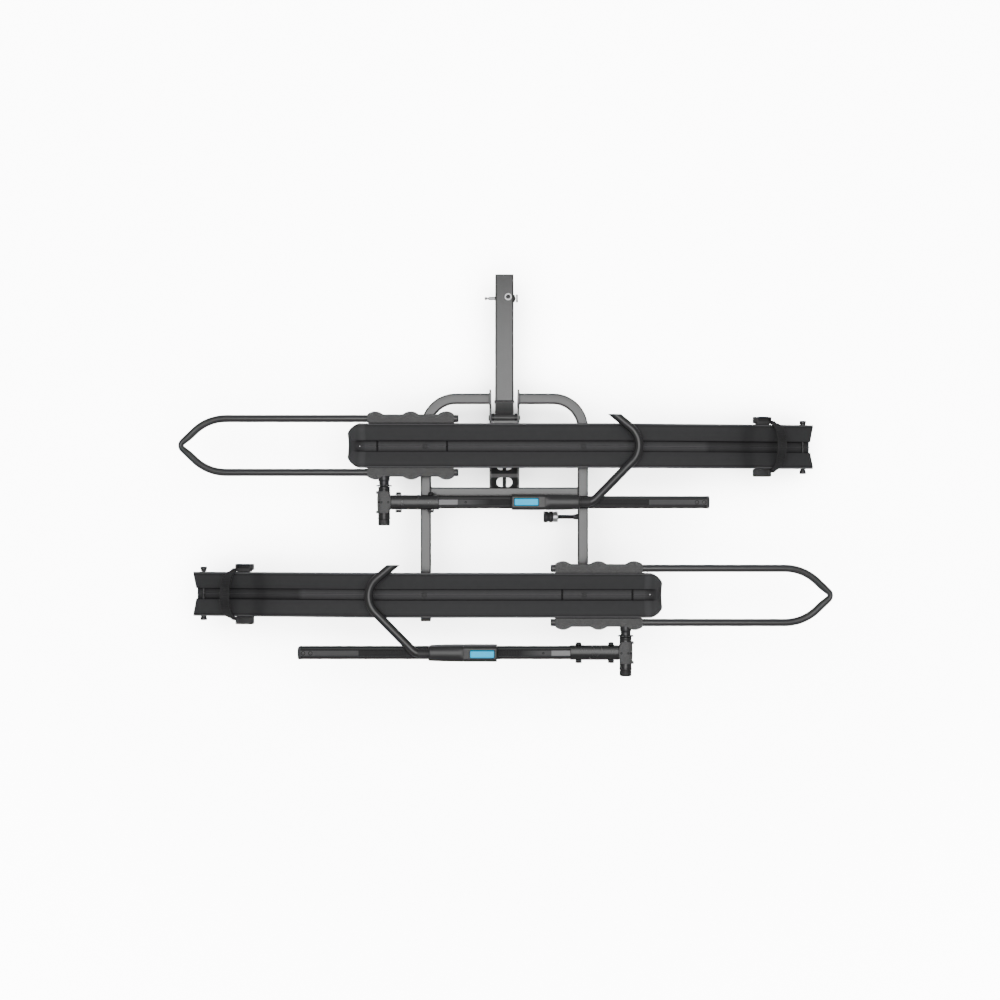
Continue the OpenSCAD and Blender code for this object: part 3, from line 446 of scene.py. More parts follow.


# Every finish and the slot named for it
looks = {
    # satin grey powder coat, with its fine orange peel
    "framePaint": dict(slot="frame_steel", color=grey(0.045), rough=0.22, grainScale=900, bump=0.10,
                       shade=0.05, speck=0.03, gloss=0.7),
    # darker satin paint of the arm sockets and sleeves, the parts under the trays and the tilt lever
    "darkPaint": dict(slot="dark_steel", color=grey(0.030, 0.031), rough=0.26, grainScale=900, bump=0.10,
                      shade=0.10),
    "tiltPaint": dict(slot="dark_steel", color=grey(0.070, 0.071), rough=0.34, grainScale=900, bump=0.12,
                      shade=0.10, speck=0.06),
    "plated": dict(slot="bare_metal", color=grey(0.52, 0.53), rough=0.30, metal=1.0, grainScale=700,
                   bump=0.06, shade=0.10),
    "boltBlack": dict(slot="bolt_metal", color=grey(0.055, 0.058), rough=0.34, metal=0.55, grainScale=800,
                      bump=0.08, shade=0.15),
    "boltDark": dict(slot="bolt_metal", color=grey(0.020, 0.021), rough=0.38, grainScale=800, bump=0.10,
                     shade=0.10, gloss=0.3),
    "trayBolt": dict(slot="bolt_metal", color=grey(0.082, 0.084), rough=0.5, grainScale=700, bump=0.08,
                     shade=0.06, gloss=0.03),
    # dark anodised sheet with its rolling lines along the tray; its tone carries painted highlights and shade
    "trayMetal": dict(slot="tray_alloy", color=grey(0.070, 0.072), rough=0.5, grainScale=420,
                      stretch=(0.03, 1, 1), bump=0.10, shade=0.07, gloss=0.03, grainDetail=4.0, tone=True),
    # textured dark grey coat of the hoops
    "hoopPaint": dict(slot="hoop_paint", color=grey(0.038, 0.039), rough=0.32, grainScale=1100, bump=0.22,
                      shade=0.06, speck=0.08, gloss=0.8),
    # cast grey with an open grain
    "castGrey": dict(slot="clamp_cast", color=grey(0.142, 0.143), rough=0.5, grainScale=620, bump=0.5,
                     shade=0.10, speck=0.22, gloss=0.15),
    "armMetal": dict(slot="arm_alloy", color=grey(0.030, 0.031), rough=0.30, grainScale=420,
                     stretch=(0.03, 1, 1), bump=0.08, shade=0.07, gloss=0.12),
    "sliderPlastic": dict(slot="black_plastic", color=grey(0.036, 0.037), rough=0.32, grainScale=1000,
                          bump=0.22, shade=0.10, gloss=0.45),
    "blackPlastic": dict(slot="black_plastic", color=grey(0.035, 0.036), rough=0.50, grainScale=1000,
                         bump=0.25, shade=0.10),
    "darkPlastic": dict(slot="black_plastic", color=grey(0.012, 0.0125), rough=0.42, grainScale=1000,
                        bump=0.20, shade=0.10),
    "rubber": dict(slot="black_rubber", color=grey(0.024, 0.025), rough=0.72, grainScale=700, bump=0.30,
                   shade=0.12, gloss=0.35),
    "strapRubber": dict(slot="black_rubber", color=grey(0.027, 0.028), rough=0.46, grainScale=700, bump=0.20,
                        shade=0.12, gloss=0.4),
    "hookRubber": dict(slot="black_rubber", color=grey(0.021, 0.022), rough=0.34, grainScale=800, bump=0.18,
                       shade=0.08, gloss=0.7),
    "brightCollar": dict(slot="bright_collar", color=grey(0.86, 0.87), rough=0.42, metal=1.0, grainScale=500,
                         bump=0.03, shade=0.03, roughSpread=0.03),
    # glossy cyan plastic; its glow is painted light, an emission that stands in for the light it catches
    "blueGlossPaintedGlow": dict(slot="blue_plastic", color=(0.0, 0.50, 0.86), rough=0.22, grainScale=300, bump=0.02,
                      shade=0.05, coat=0.06, roughSpread=0.04, tone=True, gloss=0.05, glow=0.95),
    "stripGrey": dict(slot="strip_plastic", color=grey(0.20, 0.205), rough=0.5, grainScale=900, bump=0.15,
                      shade=0.06, tone=True, gloss=0.05),
}
# the bracket's paint, which also carries the web's painted shadow
looks["bracketPaintShadowed"] = looks["framePaint"]
finishes = {name: makeFinish(name, look) for name, look in looks.items()}
print("finishes made:", len(finishes))

# Bracket's web, in metres: half its width, where the painted shadow begins and ends, and the strip where it
# stays lighter
web = {"half": (0.0360, 0.0364), "front": (-0.3700, -0.3600), "stripLow": (-0.4965, -0.4955),
       "stripHigh": (-0.4860, -0.4850), "stripShare": 0.4, "color": (0.010, 0.010, 0.0105, 1), "rough": 0.92}


# The bracket's web lies in the shadow of the inner tray, painted on as a darker and duller colour, less so on
# one strip across it
def paintWebShadow(mat, d):
    tree = mat.node_tree
    shader = tree.nodes["Principled BSDF"]
    split = tree.nodes.new("ShaderNodeSeparateXYZ")
    tree.links.new(tree.nodes.new("ShaderNodeTexCoord").outputs["Object"], split.inputs["Vector"])
    wide = tree.nodes.new("ShaderNodeMath")
    wide.operation = "ABSOLUTE"
    tree.links.new(split.outputs["X"], wide.inputs[0])
    inside = mapped(tree, wide.outputs["Value"], *d["half"], 1, 0)
    behind = mapped(tree, split.outputs["Y"], *d["front"], 1, 0)
    strip = product(tree, mapped(tree, split.outputs["Y"], *d["stripLow"], 0, 1),
                    mapped(tree, split.outputs["Y"], *d["stripHigh"], 1, 0))
    shadowMask = product(tree, product(tree, inside, behind), mapped(tree, strip, 0, 1, 1, d["stripShare"]))
    for key, kind, value in (("Base Color", "RGBA", d["color"]), ("Roughness", "FLOAT", d["rough"])):
        under = shader.inputs[key].links[0].from_socket
        tree.links.new(mixed(tree, shadowMask, under, value, kind), shader.inputs[key])


paintWebShadow(finishes["bracketPaintShadowed"], web)


# Trays: the section's upper line is carried from the hoop end over the bend and down the slope.
# At the hoop end the floor rises in a quarter-ellipse scoop to the height of the lips.
tray = {
    "halfWidth": 60.8, "lipTop": 33.0, "lipDrop": 6.5, "wingOut": 53.8, "channelHalf": 14.5,
    "channelTop": 12.0, "floor": 2.5, "sheet": 2.5, "ribHalf": 1.6, "ribTop": 4.6, "bendHalf": 7.0,
    "front": -425.6, "endFrom": -360.0, "slopeEnd": 535.0, "cornerWide": 29.0, "cornerLong": 34.0,
    "cornerPower": 1.55, "scoop": 52.0, "scoopPower": 2.2, "dent": 2.6, "grooves": (-348.0, -157.0),
    "grooveDepth": 1.3, "grooveHalf": 2.4, "grooveRows": (-2.9, -2.2, 2.2, 2.9), "endRows": 56,
    "straightRows": (-350, 300, 14.0), "bendRows": (308, 334, 14), "slopeFrom": 345, "slopeStep": 16.0,
}
# Painted light and shade, as a tone over the tray's colour: painted highlights and shade across the section,
# a lighter end near the hoop with two painted highlight bands (place, width, gain), painted shade down the
# slope with the strap's painted shadow, painted shade in the channel's floor past the bend and in the
# grooves, and a painted shadow round the end rivet
trayPaintedShading = {
    "across": (0, 2.0, 5.5, 12.6, 13.6, 15.0, 16.2, 52.0, 53.4, 55.2, 56.6, 59.4, 60.4),
    "tones": (1.75, 1.6, 1.05, 0.9, 0.5, 0.5, 1.08, 1.08, 0.7, 0.7, 2.1, 2.1, 1.2),
    "plainEnd": (17.0, 24.0), "litEndTone": 1.25, "endHighlights": ((2.0, 1.6, 0.5), (38.0, 11.0, 0.32)),
    "highlightsEnd": 47.5, "along": (400, 600, 645, 672, 700, 900), "slopeShade": (1, 0.95, 0.86, 0.62, 0.85, 0.88),
    "shadeFrom": 560.0, "shadeShare": 0.3, "grooveHalf": 2.6, "groove": 0.35, "shadowShare": 0.45,
    "shadow": 16.0,
}
endRivet = {"x": -395.6, "radius": 2.6}


# Upper half line of the section from the middle out, with every corner rounded
def trayHalfLine(d):
    corners = [(0, d["ribTop"]), (d["ribHalf"], d["ribTop"]), (d["ribHalf"] + 0.6, d["floor"]),
               (d["channelHalf"], d["floor"]), (d["channelHalf"], d["channelTop"]),
               (d["wingOut"], d["lipTop"]), (d["halfWidth"], d["lipTop"]),
               (d["halfWidth"], d["lipTop"] - d["lipDrop"])]
    return subdivided(roundCorners(corners, [0, 0.8, 0.7, 2.4, 3.0, 6.0, 2.8, 0], steps=6), 5)


# Height that follows the larger of two heights, with a soft change over the width w
def softMax(a, b, w):
    h = np.clip(0.5 + 0.5 * (a - b) / w, 0, 1)
    return b + (a - b) * h + w * h * (1 - h)


# Turn angle of the tray at each place along it, and the line that its underside follows
def trayCurve(u, bendHalf):
    fine = np.linspace(u[0], u[-1], 4001)
    t = np.clip((fine - rack["bend"] + bendHalf) / (2 * bendHalf), 0, 1)
    turn = rack["slope"] * t * t * (3 - 2 * t)
    step = np.diff(fine)
    x = fine[0] + np.concatenate([[0], np.cumsum(np.cos(turn[:-1]) * step)])
    z = -np.concatenate([[0], np.cumsum(np.sin(turn[:-1]) * step)])
    return tuple(np.interp(u, fine, values)[:, None] for values in (turn, x, z))


# Grid over the section's line and along the tray. The end's corners are arcs of a power a little under two,
# and the points before them are moved along the tray in proportion.
def traySurface(d, half, drop):
    line = np.vstack([half[::-1], half[1:] * np.array([-1, 1])])
    far = rack["bend"] + d["slopeEnd"]
    u = np.unique(np.concatenate([
        np.linspace(d["front"], d["endFrom"], d["endRows"]), np.arange(*d["straightRows"]),
        np.add.outer(d["grooves"], d["grooveRows"]).reshape(-1), np.linspace(*d["bendRows"]),
        np.arange(d["slopeFrom"], far - 3, d["slopeStep"]), [far - 3, far - 1, far]]))[:, None]
    y, lineZ = line[:, 0][None, :], line[:, 1][None, :]
    ay = np.abs(y)
    flatHalf = d["halfWidth"] - d["cornerWide"]
    past = np.clip((ay - flatHalf) / d["cornerWide"], 0, 0.9995)
    endX = d["front"] + d["cornerLong"] * (1 - (1 - past ** d["cornerPower"]) ** (1 / d["cornerPower"]))
    endX = endX + d["dent"] * (1 - np.clip(ay / flatHalf, 0, 1) ** 2)
    share = np.clip((u - d["endFrom"]) / (d["front"] - d["endFrom"]), 0, 1)
    along = u + share * (endX - d["front"])
    reach = np.clip(1 - (along - endX) / d["scoop"], 0, 1)
    scoop = d["lipTop"] * (1 - np.sqrt(1 - reach ** d["scoopPower"])) - drop
    z = np.where(reach > 0, softMax(lineZ + 0 * along, scoop, 4.0), lineZ)
    z = np.minimum(z, np.maximum(lineZ, d["lipTop"] - drop))
    for g in d["grooves"]:
        z = z - d["grooveDepth"] * (np.abs(along - g) < d["grooveHalf"]) * (ay < d["channelHalf"] - 1)
    turn, x, base = trayCurve(u[:, 0], d["bendHalf"])
    x = x + (along - u)
    return np.stack([x + z * np.sin(turn), y + 0 * along, base + z * np.cos(turn)], -1)


# Closed sheet: the upper line, and the same line moved down by the sheet's thickness square to itself
def trayShell(d):
    half = trayHalfLine(d)
    run = np.gradient(half, axis=0)
    run /= np.linalg.norm(run, axis=1, keepdims=True)
    under = half + np.stack([run[:, 1], -run[:, 0]], 1) * d["sheet"]
    under[0, 0] = 0
    return shell(traySurface(d, half, 0), traySurface(d, under, d["sheet"]))


# Painted highlights and shade of a tray, as a tone for each point that its colour is multiplied by
def paintTrayShading(pts, d, shape):
    x, away = pts[:, 0], np.abs(pts[:, 1])
    # Across the section: painted highlights on the rib and the lips, painted shade along the channel's walls
    # and in the crease inside each lip
    tone = np.interp(away, d["across"], d["tones"])
    fromEnd = x - shape["front"]
    # Near the hoop end the tone turns to an even lighter one, with two painted highlight bands where the end
    # curves up
    plain = np.interp(fromEnd, d["plainEnd"], (1, 0))
    tone = tone * (1 - plain) + d["litEndTone"] * plain
    for at, wide, gain in d["endHighlights"]:
        tone = tone * (1 + gain * np.exp(-((fromEnd - at) / wide) ** 2) * (fromEnd < d["highlightsEnd"]))
    inChannel = away < shape["channelHalf"] - 0.5
    # Painted shadow round the end rivet, painted shade down the slope with the strap's painted shadow, and
    # painted shade in the channel past the bend
    tone = tone * (1 - d["shadowShare"] * inChannel * np.exp(-((x - endRivet["x"]) / d["shadow"]) ** 4))
    tone = tone * np.interp(x, d["along"], d["slopeShade"])
    tone = tone * (1 - d["shadeShare"] * inChannel * (x > d["shadeFrom"]))
    # Painted shade in the grooves
    for g in shape["grooves"]:
        inGroove = (np.abs(x - g) < d["grooveHalf"]) & (away < shape["channelHalf"] + 1)
        tone = np.where(inGroove, d["groove"], tone)
    return tone


rivetOutline = [(0, -2.4), (endRivet["radius"], -2.4), (endRivet["radius"], 0.2),
                (endRivet["radius"] * 0.7, 0.9), (0, 1.2)]
for i in (0, 1):
    sheet = trayShell(tray)
    rowPiece(i, "tray_sheet", "frame", "trayMetal", [sheet], "tray",
             tones=[paintTrayShading(sheet[0], trayPaintedShading, tray)])
    rowPiece(i, "tray_end_rivet", "frame", "plated",
             [lathe(rivetOutline, (0, 0, 1), (endRivet["x"], 0, tray["ribTop"]), 28)])
print("trays made")


# Hoops: a round tube whose legs turn in by 44 degrees and meet at a tight tip, which is pressed thinner
hoop = {"radius": 10.1, "half": 73.0, "legEnd": -127.6, "legBend": -754.5, "angle": math.radians(44),
        "bendRadius": 125.0, "tipRadius": 13.5, "height": 33.0, "pinch": 0.25, "pinchHalf": 16.0,
        "pinchPower": 0.8, "pinchLong": 40.0, "pinchSlant": 0.55}


# Centre line: leg, arc, slanted side, tip arc and back, worked
# out from where the arcs touch the straight runs
def hoopLine(d):
    bendY = d["half"] - d["bendRadius"]
    c, s = math.cos(d["angle"]), math.sin(d["angle"])
    slant = (bendY + d["bendRadius"] * c - d["tipRadius"] * c) / s
    tipX = d["legBend"] - (d["bendRadius"] - d["tipRadius"]) * s - slant * c
    turn = np.pi / 2 + np.linspace(0, d["angle"], 16)
    tip = np.linspace(np.pi / 2 + d["angle"], np.pi * 1.5 - d["angle"], 26)
    leg = np.column_stack([np.linspace(d["legEnd"], d["legBend"] + 4, 30), np.full(30, d["half"])])
    arc = np.column_stack([d["legBend"] + d["bendRadius"] * np.cos(turn),
                           bendY + d["bendRadius"] * np.sin(turn)])
    nose = np.column_stack([tipX + d["tipRadius"] * np.cos(tip), d["tipRadius"] * np.sin(tip)])
    mid = arc[-1] + (nose[0] - arc[-1]) * np.linspace(0.2, 0.8, 4)[:, None]
    upper = np.vstack([leg, arc, mid])
    line = np.vstack([upper, nose, (upper * np.array([1, -1]))[::-1]])
    return np.column_stack([line, np.full(len(line), d["height"])])


# Tube: at the tip its inner side is drawn towards the outer one, most at the middle, and the outer edge stays
def hoopTube(d):
    line = hoopLine(d)
    pts, quads, ends = tubeAlong(line, d["radius"], 40, capEdge=0.8)
    x, away = pts[:, 0], np.abs(pts[:, 1])
    tipX = line[:, 0].min()
    share = d["pinch"] * np.clip(1 - away / d["pinchHalf"], 0, 1) ** d["pinchPower"]
    share = share * (x < tipX + d["pinchLong"])
    fromOuter = np.clip(x - tipX + d["radius"] - away * d["pinchSlant"], 0, 2 * d["radius"])
    return pts - (share * fromOuter)[:, None] * np.array([1, 0, 0]), quads, ends


# Black end fitting on a leg: a turned plug with two grooves
legCap = {"length": 17.0, "radius": 10.0, "groove": 8.4, "grooves": ((3.4, 5.6), (9.0, 11.2)), "into": 14.0}


def capOutline(d):
    edges = [(0, 0), (d["radius"], 0)]
    for start, end in d["grooves"]:
        edges += [(d["radius"], start), (d["groove"], start), (d["groove"], end), (d["radius"], end)]
    edges += [(d["radius"], d["length"]), (0, d["length"])]
    return roundCorners(edges, [0, 0.8] + [0.35] * 8 + [1.6, 0], steps=3)


capParts = []
for i in (0, 1):
    rowPiece(i, "hoop_tube", "frame", "hoopPaint", [hoopTube(hoop)], "hoop")
    for side in (-1, 1):
        origin = (hoop["legEnd"] - legCap["into"], side * hoop["half"], hoop["height"])
        capParts.append(inRow(i, lathe(capOutline(legCap), (1, 0, 0), origin, 40)))
addPiece("hoop_leg_caps", "frame", "blackPlastic", capParts, ["hoop_caps"])

# Hoop clamps: a body with lengthwise ribs on its top, and three round lobes on its outer side for the bolts
clamp = {"near": -136.5, "length": 234.5, "inner": 60.95, "outer": 84.0, "low": 14.0, "high": 46.0,
         "lobePitch": 96.0, "lobeLength": 43.0, "lobeOut": 8.2, "ribHeight": 0.9, "ribPitch": 4.4,
         "ribStart": 10.5, "edge": 2.2, "corner": 4.5, "boltY": 85.8}
clampMiddle = clamp["near"] - clamp["length"] / 2
lobePlaces = [clampMiddle + k * clamp["lobePitch"] for k in (-1, 0, 1)]


# Body: section loop at stations along x. Its outer side follows the lobes' arcs and its top carries the ribs.
def clampBody(d, side):
    x0, x1 = d["near"] - d["length"], d["near"]
    x, shrink = softEnds(x0, x1, d["edge"], 4, np.linspace(x0 + d["edge"], x1 - d["edge"], 150)[1:-1])
    lobeR = d["lobeLength"] ** 2 / (8 * d["lobeOut"]) + d["lobeOut"] / 2
    off = np.min(np.abs(x[:, None] - np.array(lobePlaces)[None, :]), axis=1)
    bulge = np.sqrt(np.clip(lobeR ** 2 - off ** 2, 0, None)) - (lobeR - d["lobeOut"])
    bulge = softMax(bulge, np.zeros_like(bulge), 2.5)
    thick = d["outer"] - d["inner"]
    rings = []
    for k, s in enumerate(shrink):
        width, height = thick + bulge[k] - 2 * s, d["high"] - d["low"] - 2 * s
        loop = roundCorners([(width, 0), (width, height), (0, height), (0, 0)],
                            [3.0, min(d["corner"], width / 3), 3.0, 2.0], True, 6)
        start = np.argmax(np.diff(loop[:, 0]) < -4)
        a, b = loop[start], loop[start + 1]
        run = a + (b - a) * np.linspace(0, 1, 37)[1:-1, None]
        fromInner = run[:, 0] + s
        ribs = d["ribHeight"] * (0.5 + 0.5 * np.cos(2 * np.pi * (fromInner - d["ribStart"]) / d["ribPitch"]))
        run[:, 1] += (ribs - d["ribHeight"]) * (fromInner < thick - 2.5) * (s < d["edge"] * 0.7)
        loop = np.vstack([loop[:start + 1], run, loop[start + 1:]]) + [d["inner"] + s, d["low"] + s]
        rings.append(atX(x[k], loop * np.array([side, 1])))
    return skin(np.stack(rings))


boltHead = {"radius": 5.0, "height": 3.2, "socket": 3.0, "socketDepth": 1.8}


# Button head with a hexagon socket: a turned dome whose inner rows follow the socket's flats
def socketHead(d, origin, axis):
    r, h = d["radius"], d["height"]
    q = np.linspace(0, np.pi / 2, 6)
    dome = [(r - r * 0.42 * (1 - np.cos(t)), 0.5 + (h - 0.5) * np.sin(t)) for t in q]
    rim = d["socket"] / 2 * 1.155
    edges = [(0, 0), (r, 0)] + dome + [(rim, h - 0.1), (rim, h - d["socketDepth"]), (0, h - d["socketDepth"])]
    return lathe(edges, axis, origin, 36,
                 wobble=lambda rr, a, hh: np.where(np.abs(rr - rim) < 1e-6, flatsAt(rr, a, d["socket"]), rr))


# Width across flats and height of each hexagon nut or head, and radius and thickness of each washer
hexSizes = {"clamp": (10, 4), "hitch": (19, 5.8), "pivot": (12, 1.8), "arm": (15, 7.6)}
washerSizes = {"pivot": (7.6, 0.6), "tray": (8.5, 1.6), "arm": (8.5, 1.4)}


# Hexagon nut or head: its width is cut by six flats and its corners by a cone
def hexHead(place, origin, axis, chamfer=0.9):
    flats, height = hexSizes[place]
    corner = flats / 2 / math.cos(math.pi / 6)
    edges = [(0, 0), (corner, 0), (corner, height - chamfer), (flats / 2 - 0.2, height), (0, height)]
    return lathe(edges, axis, origin, 72, wobble=lambda r, a, h: flatsAt(r, a, flats))


def washer(place, origin, axis):
    return lathe(roundCorners(rodOutline(*washerSizes[place]), [0, 0.3, 0.4, 0], steps=2), axis, origin, 40)


boltParts = []
for i in (0, 1):
    for side, place in ((1, "front"), (-1, "rear")):
        rowPiece(i, place + "_clamp_body", "frame", "castGrey", [clampBody(clamp, side)], place + "_clamp")
        for x in lobePlaces:
            top = (x, side * clamp["boltY"], clamp["high"] - 0.4)
            boltParts.append(inRow(i, socketHead(boltHead, top, (0, 0, 1))))
            boltParts.append(inRow(i, hexHead("clamp", (x, side * clamp["boltY"], clamp["low"]), (0, 0, -1))))
addPiece("clamp_bolt_set", "frame", "castGrey", boltParts, ["clamp_bolts"], slotName="bolt_metal")
print("hoops and clamps made")


# Weld bead round a closed line: a thin ring whose radius swells at even steps, as the welder's steps do
def weldBead(loop, origin, directions, radius, step=2.6):
    gaps = np.linalg.norm(np.roll(loop, -1, 0) - loop, axis=1)
    length = np.concatenate([[0], np.cumsum(gaps)])
    s = np.linspace(0, length[-1], max(60, int(length[-1] / 0.8)), endpoint=False)
    closedLoop = np.vstack([loop, loop[:1]])
    flat = np.stack([np.interp(s, length, closedLoop[:, k]) for k in (0, 1)], 1)
    run = np.roll(flat, -1, 0) - np.roll(flat, 1, 0)
    run /= np.linalg.norm(run, axis=1, keepdims=True) + 1e-9
    out = np.stack([run[:, 1], -run[:, 0]], 1)
    a, b, axis = (np.array(d, float) for d in directions)
    r = radius * (0.86 + 0.22 * np.abs(np.sin(np.pi * s / step)))
    ang = np.linspace(0, 2 * np.pi, 10, endpoint=False)
    centre = np.array(origin, float) + flat[:, 0:1] * a + flat[:, 1:2] * b
    outward = out[:, 0:1] * a + out[:, 1:2] * b
    across = np.cos(ang)[None, :, None] * outward[:, None] + np.sin(ang)[None, :, None] * axis
    return ringSkin(centre[:, None] + r[:, None, None] * across)


# Closed outline of a ring, with its two outer edges rounded
def ringOutline(bore, radius, width):
    return roundCorners([(bore, 0), (radius, 0), (radius, width), (bore, width)], [0, 1.2, 1.2, 0], True, 4)


# Tongue: square tube with a crosswise bush, the hitch bolt on its right and the lock stud on its left
tongue = {"half": 25.4, "back": -286.0}
bush = {"x": 10.5, "radius": 9.4, "bore": 6.4, "low": -51.2, "high": 0.4, "rim": 0.3, "lip": 0.8}
hitchBolt = {"low": -25, "threadLow": -24.5, "threadHigh": 4.5, "step": 0.35, "radius": 5.55, "depth": 0.42,
             "pitch": 1.75, "length": 6.4}
stud = {"shank": 4.3, "length": 18.3, "neck": 2.8, "neckLength": 3.0, "ball": 4.3, "neckTurn": 0.71}


def bushOutline(d):
    outer = [d["low"], d["low"] + d["rim"], d["high"] - d["rim"], d["high"]]
    inner = [d["high"], d["high"] - d["lip"], d["low"] + d["lip"], d["low"]]
    return [(d["radius"], h) for h in outer] + [(d["bore"], h) for h in inner]


def threadOutline(d):
    rows = np.arange(d["threadLow"], d["threadHigh"], d["step"])
    crests = [(d["radius"] + d["depth"] * math.sin(2 * math.pi * h / d["pitch"]), h) for h in rows]
    return [(0, d["low"])] + crests + [(0, d["length"])]


# Stud: a shank, a thin neck and a round end
def studOutline(d):
    ballMiddle = d["length"] + d["neckLength"] + d["ball"]
    edges = [(0, -4), (d["shank"], -4), (d["shank"], d["length"] - 0.6), (d["shank"] - 0.6, d["length"]),
             (d["neck"] + 0.4, d["length"] + 0.2), (d["neck"], d["length"] + 0.7),
             (d["neck"], d["length"] + d["neckLength"])]
    return edges + [(d["ball"] * math.sin(t), ballMiddle - d["ball"] * math.cos(t))
                    for t in np.linspace(d["neckTurn"], np.pi, 14)]


dressNode("tongue", "tongue", "framePaint", edge=0.9)
addPiece("cross_bush_ring", "tongue", "plated",
         [lathe(bushOutline(bush), (0, 0, 1), (bush["x"], 0, 0), ring=True)], ["cross_bush"])
bossEdges = [(6.15, 0), (10, 0), (10, 2.6), (8.8, 4.1), (6.15, 4.1)]
bossAt = (tongue["half"], 0, rack["axisZ"])
studAt = (-tongue["half"], 0, rack["axisZ"])
headAt = (tongue["half"] + hitchBolt["length"], 0, rack["axisZ"])
bossParts = [lathe(bossEdges, (1, 0, 0), bossAt, ring=True),
             weldBead(circleLoop(10.2), bossAt, alongX, 1.0, 2.2)]
hitchBoltParts = [lathe(threadOutline(hitchBolt), (1, 0, 0), bossAt, 40),
                  hexHead("hitch", headAt, (1, 0, 0), chamfer=1.3)]
studParts = [lathe(studOutline(stud), (-1, 0, 0), studAt, 40),
             weldBead(circleLoop(5.0, 30), studAt, alongX, 0.9, 2.0)]
addPiece("bolt_boss_ring", "tongue", "framePaint", bossParts, ["bolt_boss"])
addPiece("hitch_bolt_turned", "hitch_bolt", "plated", hitchBoltParts, ["hitch_bolt"])
addPiece("lock_stud_turned", "tongue", "plated", studParts, ["lock_stud"])

# Tilt head, its ears, the weld behind them, the pin and the clamp
# lever, whose flat grip swells to a rounded end
pivot = (0, rack["pivotY"], rack["pivotZ"])
lockPin = {"x": -47.2, "away": 61, "turn": math.radians(220)}
lockPinY = pivot[1] + lockPin["away"] * math.cos(lockPin["turn"])
lockPinZ = pivot[2] + lockPin["away"] * math.sin(lockPin["turn"])
ear = {"inner": 28.2, "bore": 6.3, "radius": 11.6, "width": 7.2, "weld": 51.2}
lever = {"hubX": 42.2, "bore": 6.1, "hub": 10.0, "width": 12.0, "start": 7.0, "length": 83.0, "neck": 4.6,
         "grip": 6.0, "thick": 8.0, "edge": 0.98, "tipFrom": 0.94, "tipDrawn": 0.985}


def leverParts(d):
    hubAt = np.array([d["hubX"], lockPinY, lockPinZ])
    hub = lathe(ringOutline(d["bore"], d["hub"], d["width"]), (1, 0, 0), hubAt, ring=True)
    t = np.linspace(0, 1, 40)
    half = d["neck"] + (d["grip"] - d["neck"]) * (1 - np.cos(np.pi * t)) / 2
    half = half * np.sqrt(1 - d["tipDrawn"] * np.clip((t - d["tipFrom"]) / (1 - d["tipFrom"]), 0, 1) ** 2)
    loop = roundedLoop(d["thick"], 2, d["edge"], 6)
    x = np.tile(loop[:, 0] + d["width"] / 2, (len(t), 1))
    y = -d["start"] - d["length"] * t[:, None] + 0 * x
    return [hub, skin(hubAt + np.stack([x, y, loop[:, 1] * half[:, None]], -1))]


dressNode("tilt_head", "tongue", "tiltPaint", edge=1.0)
earEdges = ringOutline(ear["bore"], ear["radius"], ear["width"])
earParts = [lathe(earEdges, (side, 0, 0), (side * ear["inner"], pivot[1], pivot[2]), ring=True)
            for side in (-1, 1)]
headWeld = roundedLoop(ear["weld"], ear["weld"], 5)
earParts.append(weldBead(headWeld, (0, tongue["back"], rack["axisZ"]), intoBack, 1.9))
addPiece("tilt_ears", "tongue", "darkPaint", earParts)
pinEdges = roundCorners([(0, 0), (9, 0), (9, 5), (6, 5), (6, 103), (0, 103)], [0, 1.2, 0.6, 0, 1.0, 0],
                        steps=4)
addPiece("tilt_pin_turned", "tongue", "boltBlack",
         [lathe(pinEdges, (1, 0, 0), (lockPin["x"], lockPinY, lockPinZ))], ["tilt_pin"])
addPiece("tilt_lever_grip", "tilt_lever", "darkPaint", leverParts(lever), ["tilt_lever"])

# Folding frame: bracket, rails swept round their bends, cross tube, weld beads, plugs and pivot bolt
tube = {"width": 28.0, "corner": 4.0, "railX": 217.0, "topY": -278.0, "bend": 82.5, "end": -881.4,
        "crossY": -537.0, "crossHalf": 203.0, "plateOut": 41.2}
plug = {"drawn": (0.9, 0.3, 0.0, 0.0, 0.6, 0.6, 0.0, 0.0, 0.6, 0.6, 0.0, 0.0, 0.5, 2.0, 6.0),
        "depth": (0, 0.2, 0.6, 2.6, 2.9, 3.7, 4.0, 5.8, 6.1, 6.9, 7.2, 9.2, 10.4, 11.3, 11.6)}
tubeLoop = roundedLoop(tube["width"], tube["width"], tube["corner"], 6)
beadLoop = roundedLoop(tube["width"] + 0.6, tube["width"] + 0.6, tube["corner"])
plugLoops = np.stack([inset(tubeLoop, s) for s in plug["drawn"]])
dressNode("bracket", "frame", "bracketPaintShadowed", edge=0.7)
beads, plugParts = [], []
pivotParts = [lathe(rodOutline(6, 84), (1, 0, 0), (-42, pivot[1], pivot[2]), 40)]
for side, name in ((-1, "left"), (1, "right")):
    railX, plateX = side * tube["railX"], side * tube["plateOut"]
    bends = bentLine([(plateX - side, tube["topY"]), (railX, tube["topY"]), (railX, tube["end"])],
                     [0, tube["bend"], 0], rack["axisZ"], 30, 60)
    addPiece(name + "_rail_tube", "frame", "framePaint", [skin(carry(tubeLoop, bends))], [name + "_rail"])
    for x, y, radius in ((side * tube["crossHalf"], tube["crossY"], 1.7), (plateX, tube["topY"], 1.9)):
        beads.append(weldBead(beadLoop, (x, y, rack["axisZ"]), alongX, radius))
    plugParts.append(skin(ringsAlong(plugLoops, plug["depth"], intoBack,
                                     (railX, tube["end"], rack["axisZ"]))))
    headX = plateX + side * washerSizes["pivot"][1]
    pivotParts.append(washer("pivot", (plateX, pivot[1], pivot[2]), (side, 0, 0)))
    pivotParts.append(hexHead("pivot", (headX, pivot[1], pivot[2]), (side, 0, 0)))
